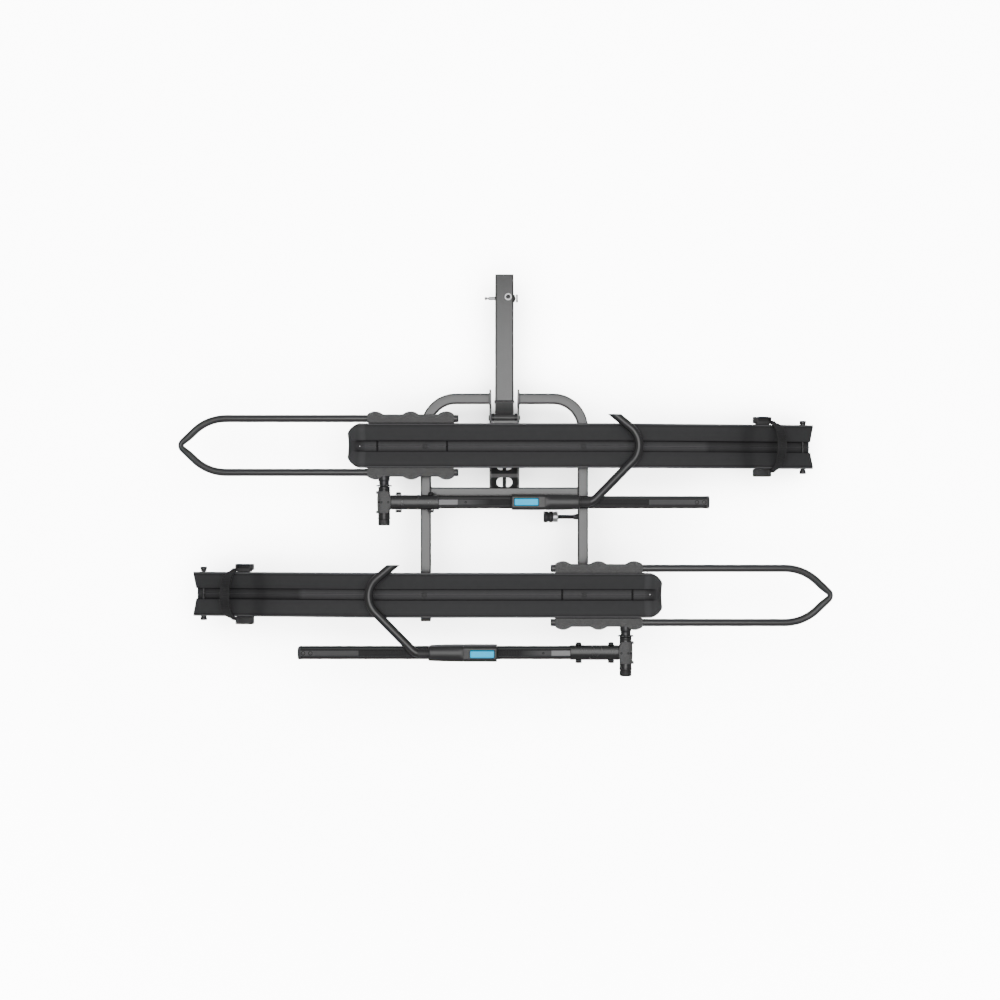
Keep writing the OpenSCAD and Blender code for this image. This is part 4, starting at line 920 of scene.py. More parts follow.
crossX = np.linspace(-tube["crossHalf"] - 0.5, tube["crossHalf"] + 0.5, 9)
crossLine = np.column_stack([crossX, np.full(9, tube["crossY"]), np.full(9, rack["axisZ"])])
addPiece("cross_tube_bar", "frame", "framePaint", [skin(carry(tubeLoop, crossLine))], ["cross_tube"])
addPiece("frame_weld_beads", "frame", "framePaint", beads)
addPiece("rail_end_plugs", "frame", "blackPlastic", plugParts, ["rail_plugs"])
addPiece("pivot_bolt_set", "frame", "boltDark", pivotParts, ["pivot_bolt"])

# Cable lock on the right rail: ferrule, ribbed stem, bright collar and two-lobed knob with a key plate
lock = {"x": 203.0, "y": rack["pivotY"] - 273.0, "stemAt": 10, "collarAt": 55, "knobAt": 69.4,
        "plateAt": 94.2, "stem": 5.4, "stemLength": 45, "rib": 0.3, "ribPitch": 3, "flutes": 18,
        "fluteDepth": 0.55}
ferrule = roundCorners([(0, -0.5), (7.6, -0.5), (8.2, 5.5), (7.0, 6.4), (7.0, 12), (0, 12)],
                       [0, 0.4, 1, 0.6, 0.8, 0], steps=3)
stem = [(lock["stem"] + lock["rib"] * max(0, math.cos(2 * math.pi * h / lock["ribPitch"])), h)
        for h in np.linspace(0, lock["stemLength"], 136)]
stem = [(0, 0)] + stem + [(0, lock["stemLength"])]
collar = roundCorners([(0, 0), (13.0, 0), (14.8, 1.4), (14.8, 12.6), (13.8, 13.8), (0, 13.8)],
                      [0, 1, 1.2, 1.2, 0.6, 0], steps=4)
knob = roundCorners([(0, 0), (14.6, 0), (15.6, 1.5), (15.6, 9.8), (13.2, 10.6), (13.2, 12.8), (15.6, 13.6),
                     (15.6, 23.0), (13.0, 25.5), (0, 25.5)],
                    [0, 0.5, 0.8, 1.2, 0.8, 0.8, 1.2, 2.2, 1.5, 0], steps=4)
keyPlate = [(0, -1), (6.2, -1), (6.2, 0.3), (5.8, 0.6), (0, 0.6)]


def knobFlutes(r, a, h):
    return r - lock["fluteDepth"] * (r > 12) * (0.5 + 0.5 * np.cos(lock["flutes"] * a)) ** 3


# Turned part of the lock, so far from the rail
def onLock(outline, away, sides, wobble=None):
    return [lathe(outline, (-1, 0, 0), (lock["x"] - away, lock["y"], rack["axisZ"]), sides, wobble)]


addPiece("lock_ferrule_turned", "frame", "boltBlack", onLock(ferrule, 0, 40), ["lock_ferrule"])
addPiece("lock_stem_ribbed", "frame", "rubber", onLock(stem, lock["stemAt"], 32), ["lock_stem"])
addPiece("lock_collar_bright", "frame", "brightCollar", onLock(collar, lock["collarAt"], 56), ["lock_collar"])
addPiece("lock_knob_fluted", "lock_knob", "blackPlastic", onLock(knob, lock["knobAt"], 144, knobFlutes),
         ["lock_knob"])
addPiece("lock_key_plate", "lock_knob", "plated", onLock(keyPlate, lock["plateAt"], 40))

# Saddles, risers and the bolts that hold the trays
for node in ("inner_saddles", "outer_risers"):
    dressNode(node, "frame", "darkPaint", edge=1.2, segments=3)
trayBoltHead = dict(boltHead, radius=6.0, height=2.0, socket=4.0)
trayBolt = {"washerAt": 2.9, "shank": 4, "low": -18.4, "lengths": (34, 60)}
trayBoltParts = []
for i in (0, 1):
    for x in (-tube["railX"], tube["railX"]):
        y, washerZ = rack["rowY"][i], rack["rowZ"][i] + trayBolt["washerAt"]
        headZ = washerZ + washerSizes["tray"][1]
        trayBoltParts.append(socketHead(trayBoltHead, (x, y, headZ), (0, 0, 1)))
        trayBoltParts.append(washer("tray", (x, y, washerZ), (0, 0, 1)))
        shank = rodOutline(trayBolt["shank"], trayBolt["lengths"][i])
        trayBoltParts.append(lathe(shank, (0, 0, 1), (x, y, trayBolt["low"]), 24))
addPiece("tray_bolt_set", "frame", "trayBolt", trayBoltParts, ["tray_bolts"])
print("tongue and frame made")


# Points of the second loop at the angles of the first about the
# middle, so that an end face closes without a twist
def raysOnto(loop, onto):
    angle = np.arctan2(loop[:, 1], loop[:, 0])
    r = np.interp(angle, np.arctan2(onto[:, 1], onto[:, 0]), np.hypot(onto[:, 0], onto[:, 1]),
                  period=2 * np.pi)
    return np.stack([r * np.cos(angle), r * np.sin(angle)], 1)


# Arm: spindle on the clamp with a lobed flange, and the sleeve that turns on it
spindle = {"root": -84.0, "into": 6.0, "collar": 15.5, "neck": 13.6, "radius": 11.8, "flangeAt": -107.1,
           "flangeEnd": -110.9, "flange": 21.0, "nub": 2.4, "nubs": 8, "end": -199.0}
sleeve = {"near": -112.3, "length": 87.5, "cap": 17.5, "radius": 16.25, "bore": 8.6, "flutes": 20,
          "flute": 0.7}


def spindleOutline(d):
    h = [d["root"] - d[key] for key in ("flangeAt", "flangeEnd", "end")]
    edges = [(0, -d["into"]), (d["collar"], -d["into"]), (d["collar"], 11), (d["neck"], 13),
             (d["neck"], h[0]), (d["flange"], h[0]), (d["flange"], h[1]), (d["radius"], h[1]),
             (d["radius"], h[2]), (0, h[2])]
    return roundCorners(edges, [0, 0.5, 1.5, 1, 0.6, 0.9, 0.9, 0.3, 0.8, 0], steps=3)


def flangeNubs(r, a, h):
    wave = 0.5 + 0.5 * np.cos(spindle["nubs"] * a)
    return np.where(r > 16, r - spindle["nub"] * (1 - wave ** 0.5), r)


def sleeveOutline(d):
    r, n, c, bore = d["radius"], d["length"], d["length"] + d["cap"], d["bore"]
    edges = [(0, 0), (r - 1.2, 0), (r, 1.2), (r, 5), (r - 0.8, 5.6), (r - 0.8, 7.0), (r, 7.6), (r, n - 4),
             (r + 0.9, n - 3.4), (r + 0.9, n), (r - 1.4, n + 0.6), (r - 1.4, n + 2.2), (r, n + 2.8),
             (r, c - 2.4), (r - 2.4, c), (bore, c), (bore, c - 4), (0, c - 4)]
    radii = [0, 0.5, 0.5] + [0.4] * 6 + [0.5] * 3 + [0.8, 1.2, 1.2, 0.5, 0.5, 0]
    return roundCorners(edges, radii, steps=2)


def capGrip(r, a, h):
    fluted = (h > sleeve["length"] + 3) & (h < sleeve["length"] + sleeve["cap"] - 2) & (r > 15)
    return r - fluted * sleeve["flute"] * (0.5 + 0.5 * np.cos(sleeve["flutes"] * a)) ** 2


# Section with soft corners: each flat (angle in degrees, distance) limits the radius along every ray
def flatSided(flats, power, sides=72):
    a = np.linspace(0, 2 * np.pi, sides, endpoint=False)
    limit = sum((np.clip(np.cos(a - math.radians(turn)), 0, None) / far) ** power for turn, far in flats)
    r = limit ** (-1 / power)
    return np.stack([r * np.cos(a), r * np.sin(a)], 1)


saddle = {"half": 29.5, "reach": 21.0, "wrap": 18.9, "top": 19.4, "bottom": 16.8, "taperFrom": 10.0,
          "taperIn": 9.0, "wrapIn": 1.4, "edge": 1.6, "softness": 18, "ears": (-22, -12, 4, -6, 7),
          "earAt": 26.5, "screws": (-12, -5, 13)}


# Saddle: a section that wraps the sleeve and reaches the socket, drawn in towards both ends of the sleeve
def saddleBody(d):
    half, e = d["half"], d["edge"]
    y, drawn = softEnds(-half, half, e, 3, np.linspace(-half + e, half - e, 33)[1:-1])
    taper = np.clip((np.abs(y) - d["taperFrom"]) / (half - d["taperFrom"]), 0, 1)
    loops = []
    for t, s in zip(taper, drawn):
        wrap = d["wrap"] - d["wrapIn"] * t - s
        flats = [(0, d["reach"] - d["taperIn"] * t - s), (90, min(d["top"], wrap)), (135, wrap), (180, wrap),
                 (225, wrap), (270, d["bottom"] - s)]
        loops.append(flatSided(flats, d["softness"]))
    return skin(ringsAlong(np.stack(loops), y, ((1, 0, 0), (0, 0, 1), (0, 1, 0))))


def saddleEars(d):
    x0, x1, half, z0, z1 = d["ears"]
    return [softBox((x0, y - half, z0), (x1, y + half, z1), 2.4) for y in (-d["earAt"], d["earAt"])]


socket = {"near": 19.3, "length": 130.0, "width": 40.6, "crown": 40.0, "corner": 4.6,
          "ends": (0, 0.4, 1.2, 2.4), "drawn": (1.6, 0.7, 0.4, 0.4), "boltsAt": (39.3, 126.7)}


# Section whose four sides are flat arcs of the crown radius, joined by rounded corners
def crownedLoop(d, steps=9):
    half = d["width"] / 2
    across = np.linspace(-0.7, 0.7, steps) * half
    bulge = d["crown"] - np.sqrt(d["crown"] ** 2 - across ** 2)
    edge = half - (d["crown"] - math.sqrt(d["crown"] ** 2 - (0.92 * half) ** 2))
    side = np.vstack([np.stack([half - bulge, across], 1), [[(half + edge) / 2, (half + edge) / 2]]])
    corners = [(c * a - s * b, s * a + c * b) for c, s in ((1, 0), (0, 1), (-1, 0), (0, -1)) for a, b in side]
    return roundCorners(corners, ([0] * steps + [d["corner"]]) * 4, True, 6)


# Socket: crowned rings along the arm, drawn in at both ends
def socketBody(d):
    ends, drawn = np.array(d["ends"]), d["drawn"] + d["drawn"][::-1]
    x = d["near"] + np.concatenate([ends, d["length"] - ends[::-1]])
    base = crownedLoop(d)
    return skin(ringsAlong(np.stack([inset(base, s) for s in drawn]), x, alongX))


bar = {"near": 33.3, "end": 873.0, "width": 33.6, "slot": 14.2, "slotDepth": 3.0, "groove": 1.0,
       "grooveAt": 7.0, "corner": 3.8}


# Bar's section: it has the strip's slot on top and two shallow grooves on each side
def barLoop(d):
    w, s, g = d["width"] / 2, d["slot"] / 2, d["groove"]
    side = [(w - deep, middle + z) for middle in (-d["grooveAt"], d["grooveAt"])
            for deep, z in ((0, -1.6), (g, -1.0), (g, 1.0), (0, 1.6))]
    floor = w - d["slotDepth"]
    corners = [(w, -w)] + side + [(w, w), (s, w), (s, floor), (-s, floor), (-s, w), (-w, w)]
    corners += [(-x, z) for x, z in side[::-1]] + [(-w, -w)]
    far = [d["corner"]]
    radii = far + [0.3] * 8 + far + [0.4, 0.3, 0.3, 0.4] + far + [0.3] * 8 + far
    return roundCorners(corners, radii, True, 4)


# Bar: two rings near its ends keep the long sides evenly shaded
def barBody(d):
    return prism(barLoop(d), d["near"], d["end"], alongX, edge=0.3, steps=2,
                 middle=(d["near"] + 1.5, d["end"] - 1.5))


strip = {"near": 150.0, "end": 872.6, "half": 6.9, "bottom": 13.9, "top": 17.6, "teethFrom": 286.0,
         "pitch": 7.2, "teeth": 60, "toothDepth": 1.7, "toothHalf": 5.0, "sawAt": (0, 0.2, 6.0, 7.2),
         "saw": (0, 1, 0.1, 0), "seams": ((200.0, 201.0, 202.0), (227.0, 228.0)), "seamDepth": 0.8,
         "tones": (1.9, 0.6, 0.24, 0.6), "screwAt": 222.0}


# Strip: its height over the arm is a saw wave where the teeth are, between two flat borders. It has two seams
# across, is brightest before the first of them and darkest along the teeth.
def stripBody(d):
    teethEnd = d["teethFrom"] + d["teeth"] * d["pitch"]
    starts = d["teethFrom"] + d["pitch"] * np.arange(d["teeth"])
    teeth = (starts[:, None] + np.array(d["sawAt"][:3])).reshape(-1)
    first, second = d["seams"]
    x = np.unique(np.concatenate([[d["near"], d["near"] + 0.6], first, second, teeth,
                                  [teethEnd, teethEnd + 1, d["end"] - 0.6, d["end"]]]))
    inTeeth = (x > d["teethFrom"]) & (x < teethEnd)
    low = d["toothDepth"] * np.interp((x - d["teethFrom"]) % d["pitch"], d["sawAt"], d["saw"]) * inTeeth
    h, t = d["half"], d["toothHalf"]
    y = np.array([-h, 0.5 - h, -t - 0.3, -t, t, t + 0.3, h - 0.5, h])
    seam = d["seamDepth"] * ((x == first[1]) | (x == second[0]) | (x == second[1]))
    z = d["top"] - low[:, None] * (np.abs(y) <= t) - 0.5 * (np.abs(y) == h) - seam[:, None]
    top = np.stack([x[:, None] + 0 * z, y + 0 * z, z], -1)
    bottom = top.copy()
    bottom[..., 2] = d["bottom"]
    tone = np.select([x < first[1], x < d["teethFrom"], x < teethEnd], d["tones"][:3], d["tones"][3])
    return shell(top, bottom), np.tile(np.repeat(tone, len(y)), 2)


endCap = {"from": 872.8, "to": 883.0, "bulge": 1.6, "over": 1.2, "corner": 4.5, "round": 5.0, "face": 0.5,
          "screws": (846.5, 866.0), "screwRing": 6.0, "screwHead": 3.4}


# End cap: rings of the bar's section that draw in towards a slightly bulged end face
def capBody(d):
    q = np.linspace(0, np.pi / 2, 8)
    x = np.concatenate([[d["from"]], d["to"] - d["bulge"] - d["round"] * (1 - np.sin(q)), [d["to"] - 0.3]])
    base = roundedLoop(bar["width"] + d["over"], bar["width"] + d["over"], d["corner"], 8)
    drawn = np.concatenate([[0.2], d["round"] * (1 - np.cos(q))])
    loops = [inset(base, s) for s in drawn] + [base * d["face"]]
    return skin(ringsAlong(np.stack(loops), x, alongX))


# Countersunk screw head with a hexagon socket
def countersunk(radius, origin, socketRadius=1.5, flats=2.5):
    edges = [(0, -1), (radius, -1), (radius, 0), (radius - 0.6, 0.35), (socketRadius, 0.35),
             (socketRadius, -0.9), (0, -0.9)]
    return lathe(edges, (0, 0, 1), origin, 36,
                 wobble=lambda r, a, h: np.where(np.abs(r - socketRadius) < 1e-6, flatsAt(r, a, flats), r))


slider = {"near": 346.0, "length": 184.0, "crown": 34.0, "half": 21.0, "bottom": -21.1, "top": 44.1,
          "corner": 8.5, "lowCorner": 5.0, "way": 34.2, "wayCorner": 4.2,
          "pocket": (352.6, 418.6, 11.2, 29.4), "seam": 436.0, "nearRound": 2.5, "farRound": 5.0,
          "narrower": 2.2, "lower": 1.0, "shoulder": 5.2}


# Slider: an outer skin of rings whose top dips into the button's pocket and is crowned past the seam, and the
# bar's square way through it
def sliderBody(d):
    x0, x1, seam = d["near"], d["near"] + d["length"], d["seam"]
    p0, p1, pHalf, pFloor = d["pocket"]
    q = np.linspace(0, np.pi / 2, 6)
    x = np.concatenate([x0 + d["nearRound"] * (1 - np.cos(q)), [p0, p0 + 0.01, p1, p1 + 0.01],
                        seam + np.array([-1.2, -0.6, 0.6, 1.2]),
                        np.linspace(seam + 6, x1 - d["farRound"] - 4, 24),
                        x1 - d["farRound"] * (1 - np.cos(q[::-1]))])
    drawn = np.concatenate([d["nearRound"] * (1 - np.sin(q)), np.zeros(4), [0, 0.9, 0.9, 0], np.zeros(24),
                            d["farRound"] * (1 - np.sin(q[::-1]))])
    far = np.clip((x - seam) / (x1 - seam), 0, 1) ** 2
    across = np.array([pHalf, pHalf * 0.75, pHalf * 0.5, pHalf * 0.25, 0])
    rings = []
    for k, s in enumerate(drawn):
        w, low = d["half"] - s - d["narrower"] * far[k], d["bottom"] + s
        top = d["top"] - s - d["lower"] * far[k]
        crowned = np.clip((x[k] - seam - 1) / 10, 0, 1)
        arc = top - crowned * across ** 2 / (2 * d["crown"])
        right = roundCorners([(0, low), (w, low), (w, top - crowned * d["shoulder"]), (pHalf, arc[0])],
                             [0, d["lowCorner"], d["corner"] - 0.4 * s, 0], steps=7)
        dip = np.stack([across, np.full(5, pFloor) if p0 < x[k] <= p1 else arc], 1)
        rings.append(atX(x[k], mirrored(np.vstack([right, dip]))))
    way = raysOnto(rings[0][:, 1:], roundedLoop(d["way"], d["way"], d["wayCorner"], 6))
    inner = [atX(at, way) for at in (x1 - 0.2, x1 - 1.2, x0 + 1.2, x0 + 0.2)]
    return ringSkin(np.stack(rings + inner))


# The top tone is painted light and the side tone painted shade
button = {"near": 353.6, "length": 64.0, "half": 10.0, "bottom": 33.8, "top": 48.6, "crown": 1.1, "dish": 0.8,
          "edge": 3.0, "ribs": 5, "ribsFrom": 8.0, "ribPitch": 4.2, "rib": 0.45, "litTopTone": 0.9,
          "shadedSideTone": 0.35}


# Button: round-edged rings along the arm under a crowned top with a shallow dish,
# with thumb ribs at its near end. Its top is painted brighter than its sides: painted light on the top,
# painted shade on the sides.
def buttonBody(d):
    x0, x1, e = d["near"], d["near"] + d["length"], d["edge"]
    x, drop = softEnds(x0, x1, e, 5, np.linspace(x0 + e, x1 - e, 60)[1:-1])
    t = (x - x0) / (x1 - x0)
    fromRibs = (x - x0 - d["ribsFrom"]) / d["ribPitch"]
    rib = d["rib"] * (np.sin(2 * np.pi * fromRibs) > 0) * ((fromRibs > 0) & (fromRibs < d["ribs"]))
    rings, tones = [], []
    for k, s in enumerate(drop):
        w = d["half"] - 0.55 * s
        top = d["top"] - s + d["crown"] * 4 * t[k] * (1 - t[k]) - d["dish"] * np.sin(np.pi * t[k]) ** 4
        right = [(0, d["bottom"]), (w, d["bottom"]), (w, top), (w * 0.65, top + 0.3), (w * 0.45, top + 0.4),
                 (0, top + 0.4)]
        loop = mirrored(roundCorners(right, [0, 0.8, 2.6, 0, 0, 0], steps=6))
        loop[:, 1] += rib[k] * (loop[:, 1] > top - 0.1) * (np.abs(loop[:, 0]) < 0.8 * w)
        rings.append(atX(x[k], loop))
        onTop = (np.abs(loop[:, 0]) < w - 2.2) & (loop[:, 1] > top - 0.3) & (s < 0.6)
        tones.append(np.where(onTop, d["litTopTone"], d["shadedSideTone"]))
    return skin(np.stack(rings)), np.concatenate(tones)


hook = {"radius": 11.5, "height": 30.6, "root": 470.0, "bendAt": 563.0, "bendRadius": 34.0,
        "cornerRadius": 62.0, "angle": math.radians(45.5), "turn": math.radians(95), "over": 158.1,
        "endY": 236.6, "spare": 9.0}
hookCollar = {"x": 529.0, "outline": [(0, 0), (12.6, 0), (12.6, 4), (12.0, 5), (12.0, 13), (12.6, 14),
                                      (12.6, 27), (11.1, 29), (0, 29)],
              "radii": [0, 1, 0.5, 0.5, 0.5, 0.5, 1.2, 0.5, 0]}


# Hook: a round tube with two bends, cut off parallel to the arm at its end
def hookBody(d):
    corner = (d["bendAt"] + d["over"] / math.tan(d["angle"]), d["over"])
    away = d["angle"] + d["turn"]
    length = (d["endY"] + d["spare"] - d["over"]) / math.sin(away)
    tip = (corner[0] + length * math.cos(away), corner[1] + length * math.sin(away))
    line = bentLine([(d["root"], 0), (d["bendAt"], 0), corner, tip],
                    [0, d["bendRadius"], d["cornerRadius"], 0], d["height"], 28, 14)
    pts, quads, ends = tubeAlong(line, d["radius"], sides=44)
    run = np.array([math.cos(away), math.sin(away), 0])
    over = np.clip((pts[:, 1] - d["endY"]) / run[1], 0, None)[:, None]
    return pts - over * run, quads, ends


def collarBody(d):
    return lathe(roundCorners(d["outline"], d["radii"], steps=3), (1, 0, 0), (d["x"], 0, hook["height"]), 56)


armBoltHead = dict(boltHead, radius=7.8, height=6.0, socket=5.0)


# Cross bolts of the socket with their washers and nuts, and the screw in the strip
def armBolts():
    side, parts = socket["width"] / 2, []
    headY = side + washerSizes["arm"][1]
    for x in socket["boltsAt"]:
        parts += [washer("arm", (x, side, 0), (0, 1, 0)), socketHead(armBoltHead, (x, headY, 0), (0, 1, 0)),
                  hexHead("arm", (x, -side, 0), (0, -1, 0))]
    return parts + [countersunk(3.0, (strip["screwAt"], 0, strip["top"] - 0.1))]


screwRing = [(0, -1), (endCap["screwRing"], -1), (endCap["screwRing"], 0), (endCap["screwHead"], 0.2),
             (0, 0.2)]
screwRings = [lathe(screwRing, (0, 0, 1), (x, 0, strip["top"]), 40) for x in endCap["screws"]]
screwHeads = [countersunk(endCap["screwHead"], (x, 0, strip["top"] + 0.2)) for x in endCap["screws"]]
saddleScrews = [countersunk(2.8, (x, 0, saddle["top"] + 0.05)) for x in saddle["screws"]]
stripPart, stripTones = stripBody(strip)
buttonPart, buttonShading = buttonBody(button)
hingeX, hingeZ = rack["hinge"][0], rack["hinge"][2]
spindleTurned = lathe(spindleOutline(spindle), (0, -1, 0), (hingeX, spindle["root"], hingeZ), 96, flangeNubs)
sleeveTurned = lathe(sleeveOutline(sleeve), (0, -1, 0), (hingeX, sleeve["near"], hingeZ), 120, capGrip)
addPiece("arm_spindle_set", "frame", "boltBlack", [inRow(i, spindleTurned) for i in (0, 1)], ["arm_spindles"])

# Pieces of an arm: end of the name, body, finish, parts, node, and what else its mesh needs
armPieces = (
    ("arm_saddle", "arm", "castGrey", [saddleBody(saddle)] + saddleEars(saddle), "arm_bracket", {}),
    ("saddle_screws", "arm", "boltDark", saddleScrews, "", {}),
    ("arm_socket_body", "arm", "darkPaint", [socketBody(socket)], "arm_socket", {}),
    ("arm_bar_body", "arm", "armMetal", [barBody(bar)], "arm_bar", {}),
    ("tooth_strip", "arm", "stripGrey", [stripPart], "rack_strip", {"tones": [stripTones], "sharp": 20}),
    ("arm_bolt_set", "arm", "boltDark", armBolts(), "arm_bolts", {}),
    ("arm_end_cap", "arm", "blackPlastic", [capBody(endCap)], "end_cap", {}),
    ("cap_screw_rings", "arm", "darkPlastic", screwRings, "", {}),
    ("cap_screw_heads", "arm", "castGrey", screwHeads, "", {"slotName": "bolt_metal"}),
    ("slider_body", "slider", "sliderPlastic", [sliderBody(slider)], "slider", {}),
    ("hook_tube", "slider", "hookRubber", [hookBody(hook)], "hook", {}),
    ("hook_collar", "slider", "blackPlastic", [collarBody(hookCollar)], "", {}),
    ("button_pad", "button", "blueGlossPaintedGlow", [buttonPart], "button", {"tones": [buttonShading]}),
)
for i in (0, 1):
    rowPiece(i, "hinge_sleeve_turned", "arm", "darkPaint", [sleeveTurned], "hinge_sleeve")
    for ending, body, finish, parts, node, more in armPieces:
        rowPiece(i, ending, body, finish, parts, node, onArm, **more)
print("arms made")


# Wheel straps: a ladder band that arches over the tray from block to block
strap = {"near": 412.6, "width": 25.6, "thick": 3.0, "footY": 66.3, "footZ": 36.0, "rise": 54.0, "pitch": 5.2,
         "ribDeep": 1.0, "blockEnd": 411.4, "footCorner": 11.0, "flareFrom": 44.0, "flareLong": 24.0,
         "flareOut": 1.6, "flareIn": 0.46, "borders": (0, 0.5, 3.9, 4.2, 8, 13, 18, 21.4, 21.7, 25.1, 25.6)}
strapEnd = {"across": (61.1, 61.5, 62.4, 62.7, 70.0, 70.3, 71.2, 71.6), "reach": 0.6, "drawn": 0.8,
            "rib": 0.7, "top": 36.0, "bottom": 33.0}
block = {"middle": 392.0, "length": 48.0, "inner": 60.95, "outer": 82.8, "low": 11.0, "high": 33.0,
         "step": 65.4, "deck": 23.2, "wall": 70.0, "cheek": 4.6}


# Band: arc length along the arch by width across it. Cross ribs stand between two flat borders,
# and the band's near edge runs out and its far edge runs in towards both feet.
def strapBand(d):
    radius = (d["footY"] ** 2 + d["rise"] ** 2) / (2 * d["rise"])
    mid = d["footZ"] + d["rise"] - radius
    start = math.asin((d["footZ"] - 3 - mid) / radius)
    count = int((np.pi - 2 * start) * radius / d["pitch"]) * 6
    a = np.linspace(start, np.pi - start, count + 1)
    t = np.array(d["borders"])
    inner = np.array([0, 0, 0, 1, 1, 1, 1, 1, 0, 0, 0])
    edge = 0.5 * ((t == 0) | (t == d["width"]))
    rib = (np.arange(count + 1) % 6 < 3)[:, None] * d["ribDeep"]
    outR = radius + (rib - 0.5) * inner - edge
    inR = radius - d["thick"] + 0 * outR
    foot = np.clip((np.abs(np.cos(a)) * radius - d["flareFrom"]) / d["flareLong"], 0, 1)[:, None] ** 2
    x = d["near"] - d["flareOut"] * foot + t[None, :] * (1 - d["flareIn"] * foot) + 0 * outR

    def at(r):
        return np.stack([x, r * np.cos(a)[:, None], mid + r * np.sin(a)[:, None]], -1)
    return shell(at(outR), at(inR))


# Lower strap end: a ribbed tongue that runs from the block to the band's foot
def strapFoot(d, e, side):
    x = np.linspace(d["blockEnd"], d["near"] + e["reach"] * d["width"], 60)
    y = np.array(e["across"]) * side
    near = np.clip(1 - (x[-1] - x) / d["footCorner"], 0, 1)
    drawn = (1 - np.sqrt(1 - near ** 2)) * e["drawn"]
    rib = (np.arange(60) % 6 < 3)[:, None] * e["rib"] * np.array([0, 0, 0, 1, 1, 0, 0, 0])
    z = e["top"] + rib - np.array([0.5, 0, 0, 0, 0, 0, 0, 0.5])
    top = np.stack([x[:, None] + 0 * z, y - drawn[:, None] * (y - y[0]), z], -1)
    low = top.copy()
    low[..., 2] = e["bottom"]
    return shell(top, low)


# Ratchet block on the near side: a base, an inner wall and two rounded cheeks that hold the lever's pin
def ratchetParts(b):
    x0, x1 = b["middle"] - b["length"] / 2, b["middle"] + b["length"] / 2
    parts = [softBox((x0 + 6, b["inner"], b["low"]), (x1 - 4, b["wall"], b["deck"]), 2.4),
             softBox((x0, b["step"], b["low"]), (x1, b["outer"], b["deck"]), 4.2),
             softBox((x0 + 6, b["inner"], b["low"] + 2), (x1 - 4, b["wall"], b["high"]), 2.2),
             softBox((x0, b["step"], b["low"] + 2), (x1, b["wall"] + 2.2, b["high"]), 4.0)]
    cheek = roundCorners([(66, 13), (b["outer"], 13), (b["outer"], 25), (b["outer"] - 1, b["high"] + 0.6),
                          (68, b["high"])], [1, 3, 4, 4.5, 2], True, 6)
    return parts + [prism(cheek, at, at + b["cheek"], alongX) for at in (x0, x1 - b["cheek"])]


strapLever = {"at": (392.0, 68.8, 28.0), "half": 18.4, "length": 14.0, "drum": 4.4, "notches": 10,
              "notch": 0.55, "pin": 1.95, "pinHalf": 24.4, "curl": 1.8, "grips": 7, "grip": 0.55,
              "gripFrom": 0.45, "gripTo": 0.93}


# Lever: a notched drum on the pin and a plate that curls up at its tip, with grip ribs across it
def strapLeverParts(d):
    drum = lathe(rodOutline(d["drum"], 2 * d["half"], -d["half"]), (1, 0, 0), d["at"], 96,
                 wobble=lambda r, a, h: r - d["notch"] * (r > 4) * (np.sin(d["notches"] * a) > 0.2))
    pin = lathe(rodOutline(d["pin"], 2 * d["pinHalf"], -d["pinHalf"]), (1, 0, 0), d["at"], 24)
    t = np.linspace(0, 1, 44)[:, None]
    x = np.linspace(-1, 1, 25)
    y = 1.5 + (d["length"] - 1.5) * t - 2.2 * (np.abs(x) ** 6) * (t > 0.9)
    curl = d["curl"] * t ** 3
    gripped = (t > d["gripFrom"]) & (t < d["gripTo"]) & (np.abs(x) < 0.8)
    rib = d["grip"] * (np.sin(2 * np.pi * t * d["grips"]) > 0) * gripped
    edge = np.maximum(np.abs(x), np.abs(2 * t - 1)) ** 12

    def at(z):
        return np.stack([x * (d["half"] - 0.4) + 0 * z, y + 0 * z, z], -1) + np.array(d["at"])
    return [drum, pin, shell(at(3.6 + curl + rib - edge), at(-0.8 + curl + edge * 0.8))]


# Plain block on the far side: a rounded body with a raised panel and a narrower pad beside it
def anchorParts(b):
    x0, x1 = b["middle"] - b["length"] / 2, b["middle"] + b["length"] / 2
    outer, inner, top = -b["outer"], -b["inner"], b["high"]
    return [softBox((x0, outer, b["low"]), (x1, inner, top), 3.2, steps=5),
            softBox((x0 + 4, outer + 3.4, top - 2), (x1 - 14, inner - 3.4, top + 1.6), 1.4),
            softBox((x1 - 11, outer + 4, top - 2), (x1 - 2, inner - 4, top + 2.4), 1.4)]


# Rod across under the tray: its end buttons, and the spacers beside the channel
rod = {"x": 515.0, "z": 7.0, "half": 71.8, "radius": 3.0, "endAt": 61.0, "spacerAt": 15.8}
rodEnd = roundCorners([(0, 0), (7.4, 0), (7.6, 0.8), (7.6, 4.8), (8.8, 5.6), (9, 6.5), (9, 11.5), (8.4, 13),
                       (0, 13)], [0, 0.4, 0.4, 0.5, 0.5, 0.5, 0.5, 1.8, 0], steps=3)
spacer = roundCorners(rodOutline(5.4, 45), [0, 0.6, 0.6, 0], steps=3)


def rodParts(d):
    parts = [lathe(rodOutline(d["radius"], 2 * d["half"]), (0, 1, 0), (d["x"], -d["half"], d["z"]), 24)]
    for side in (-1, 1):
        for outline, y, sides in ((rodEnd, d["endAt"], 40), (spacer, d["spacerAt"], 32)):
            parts.append(lathe(outline, (0, side, 0), (d["x"], side * y, d["z"]), sides))
    return parts


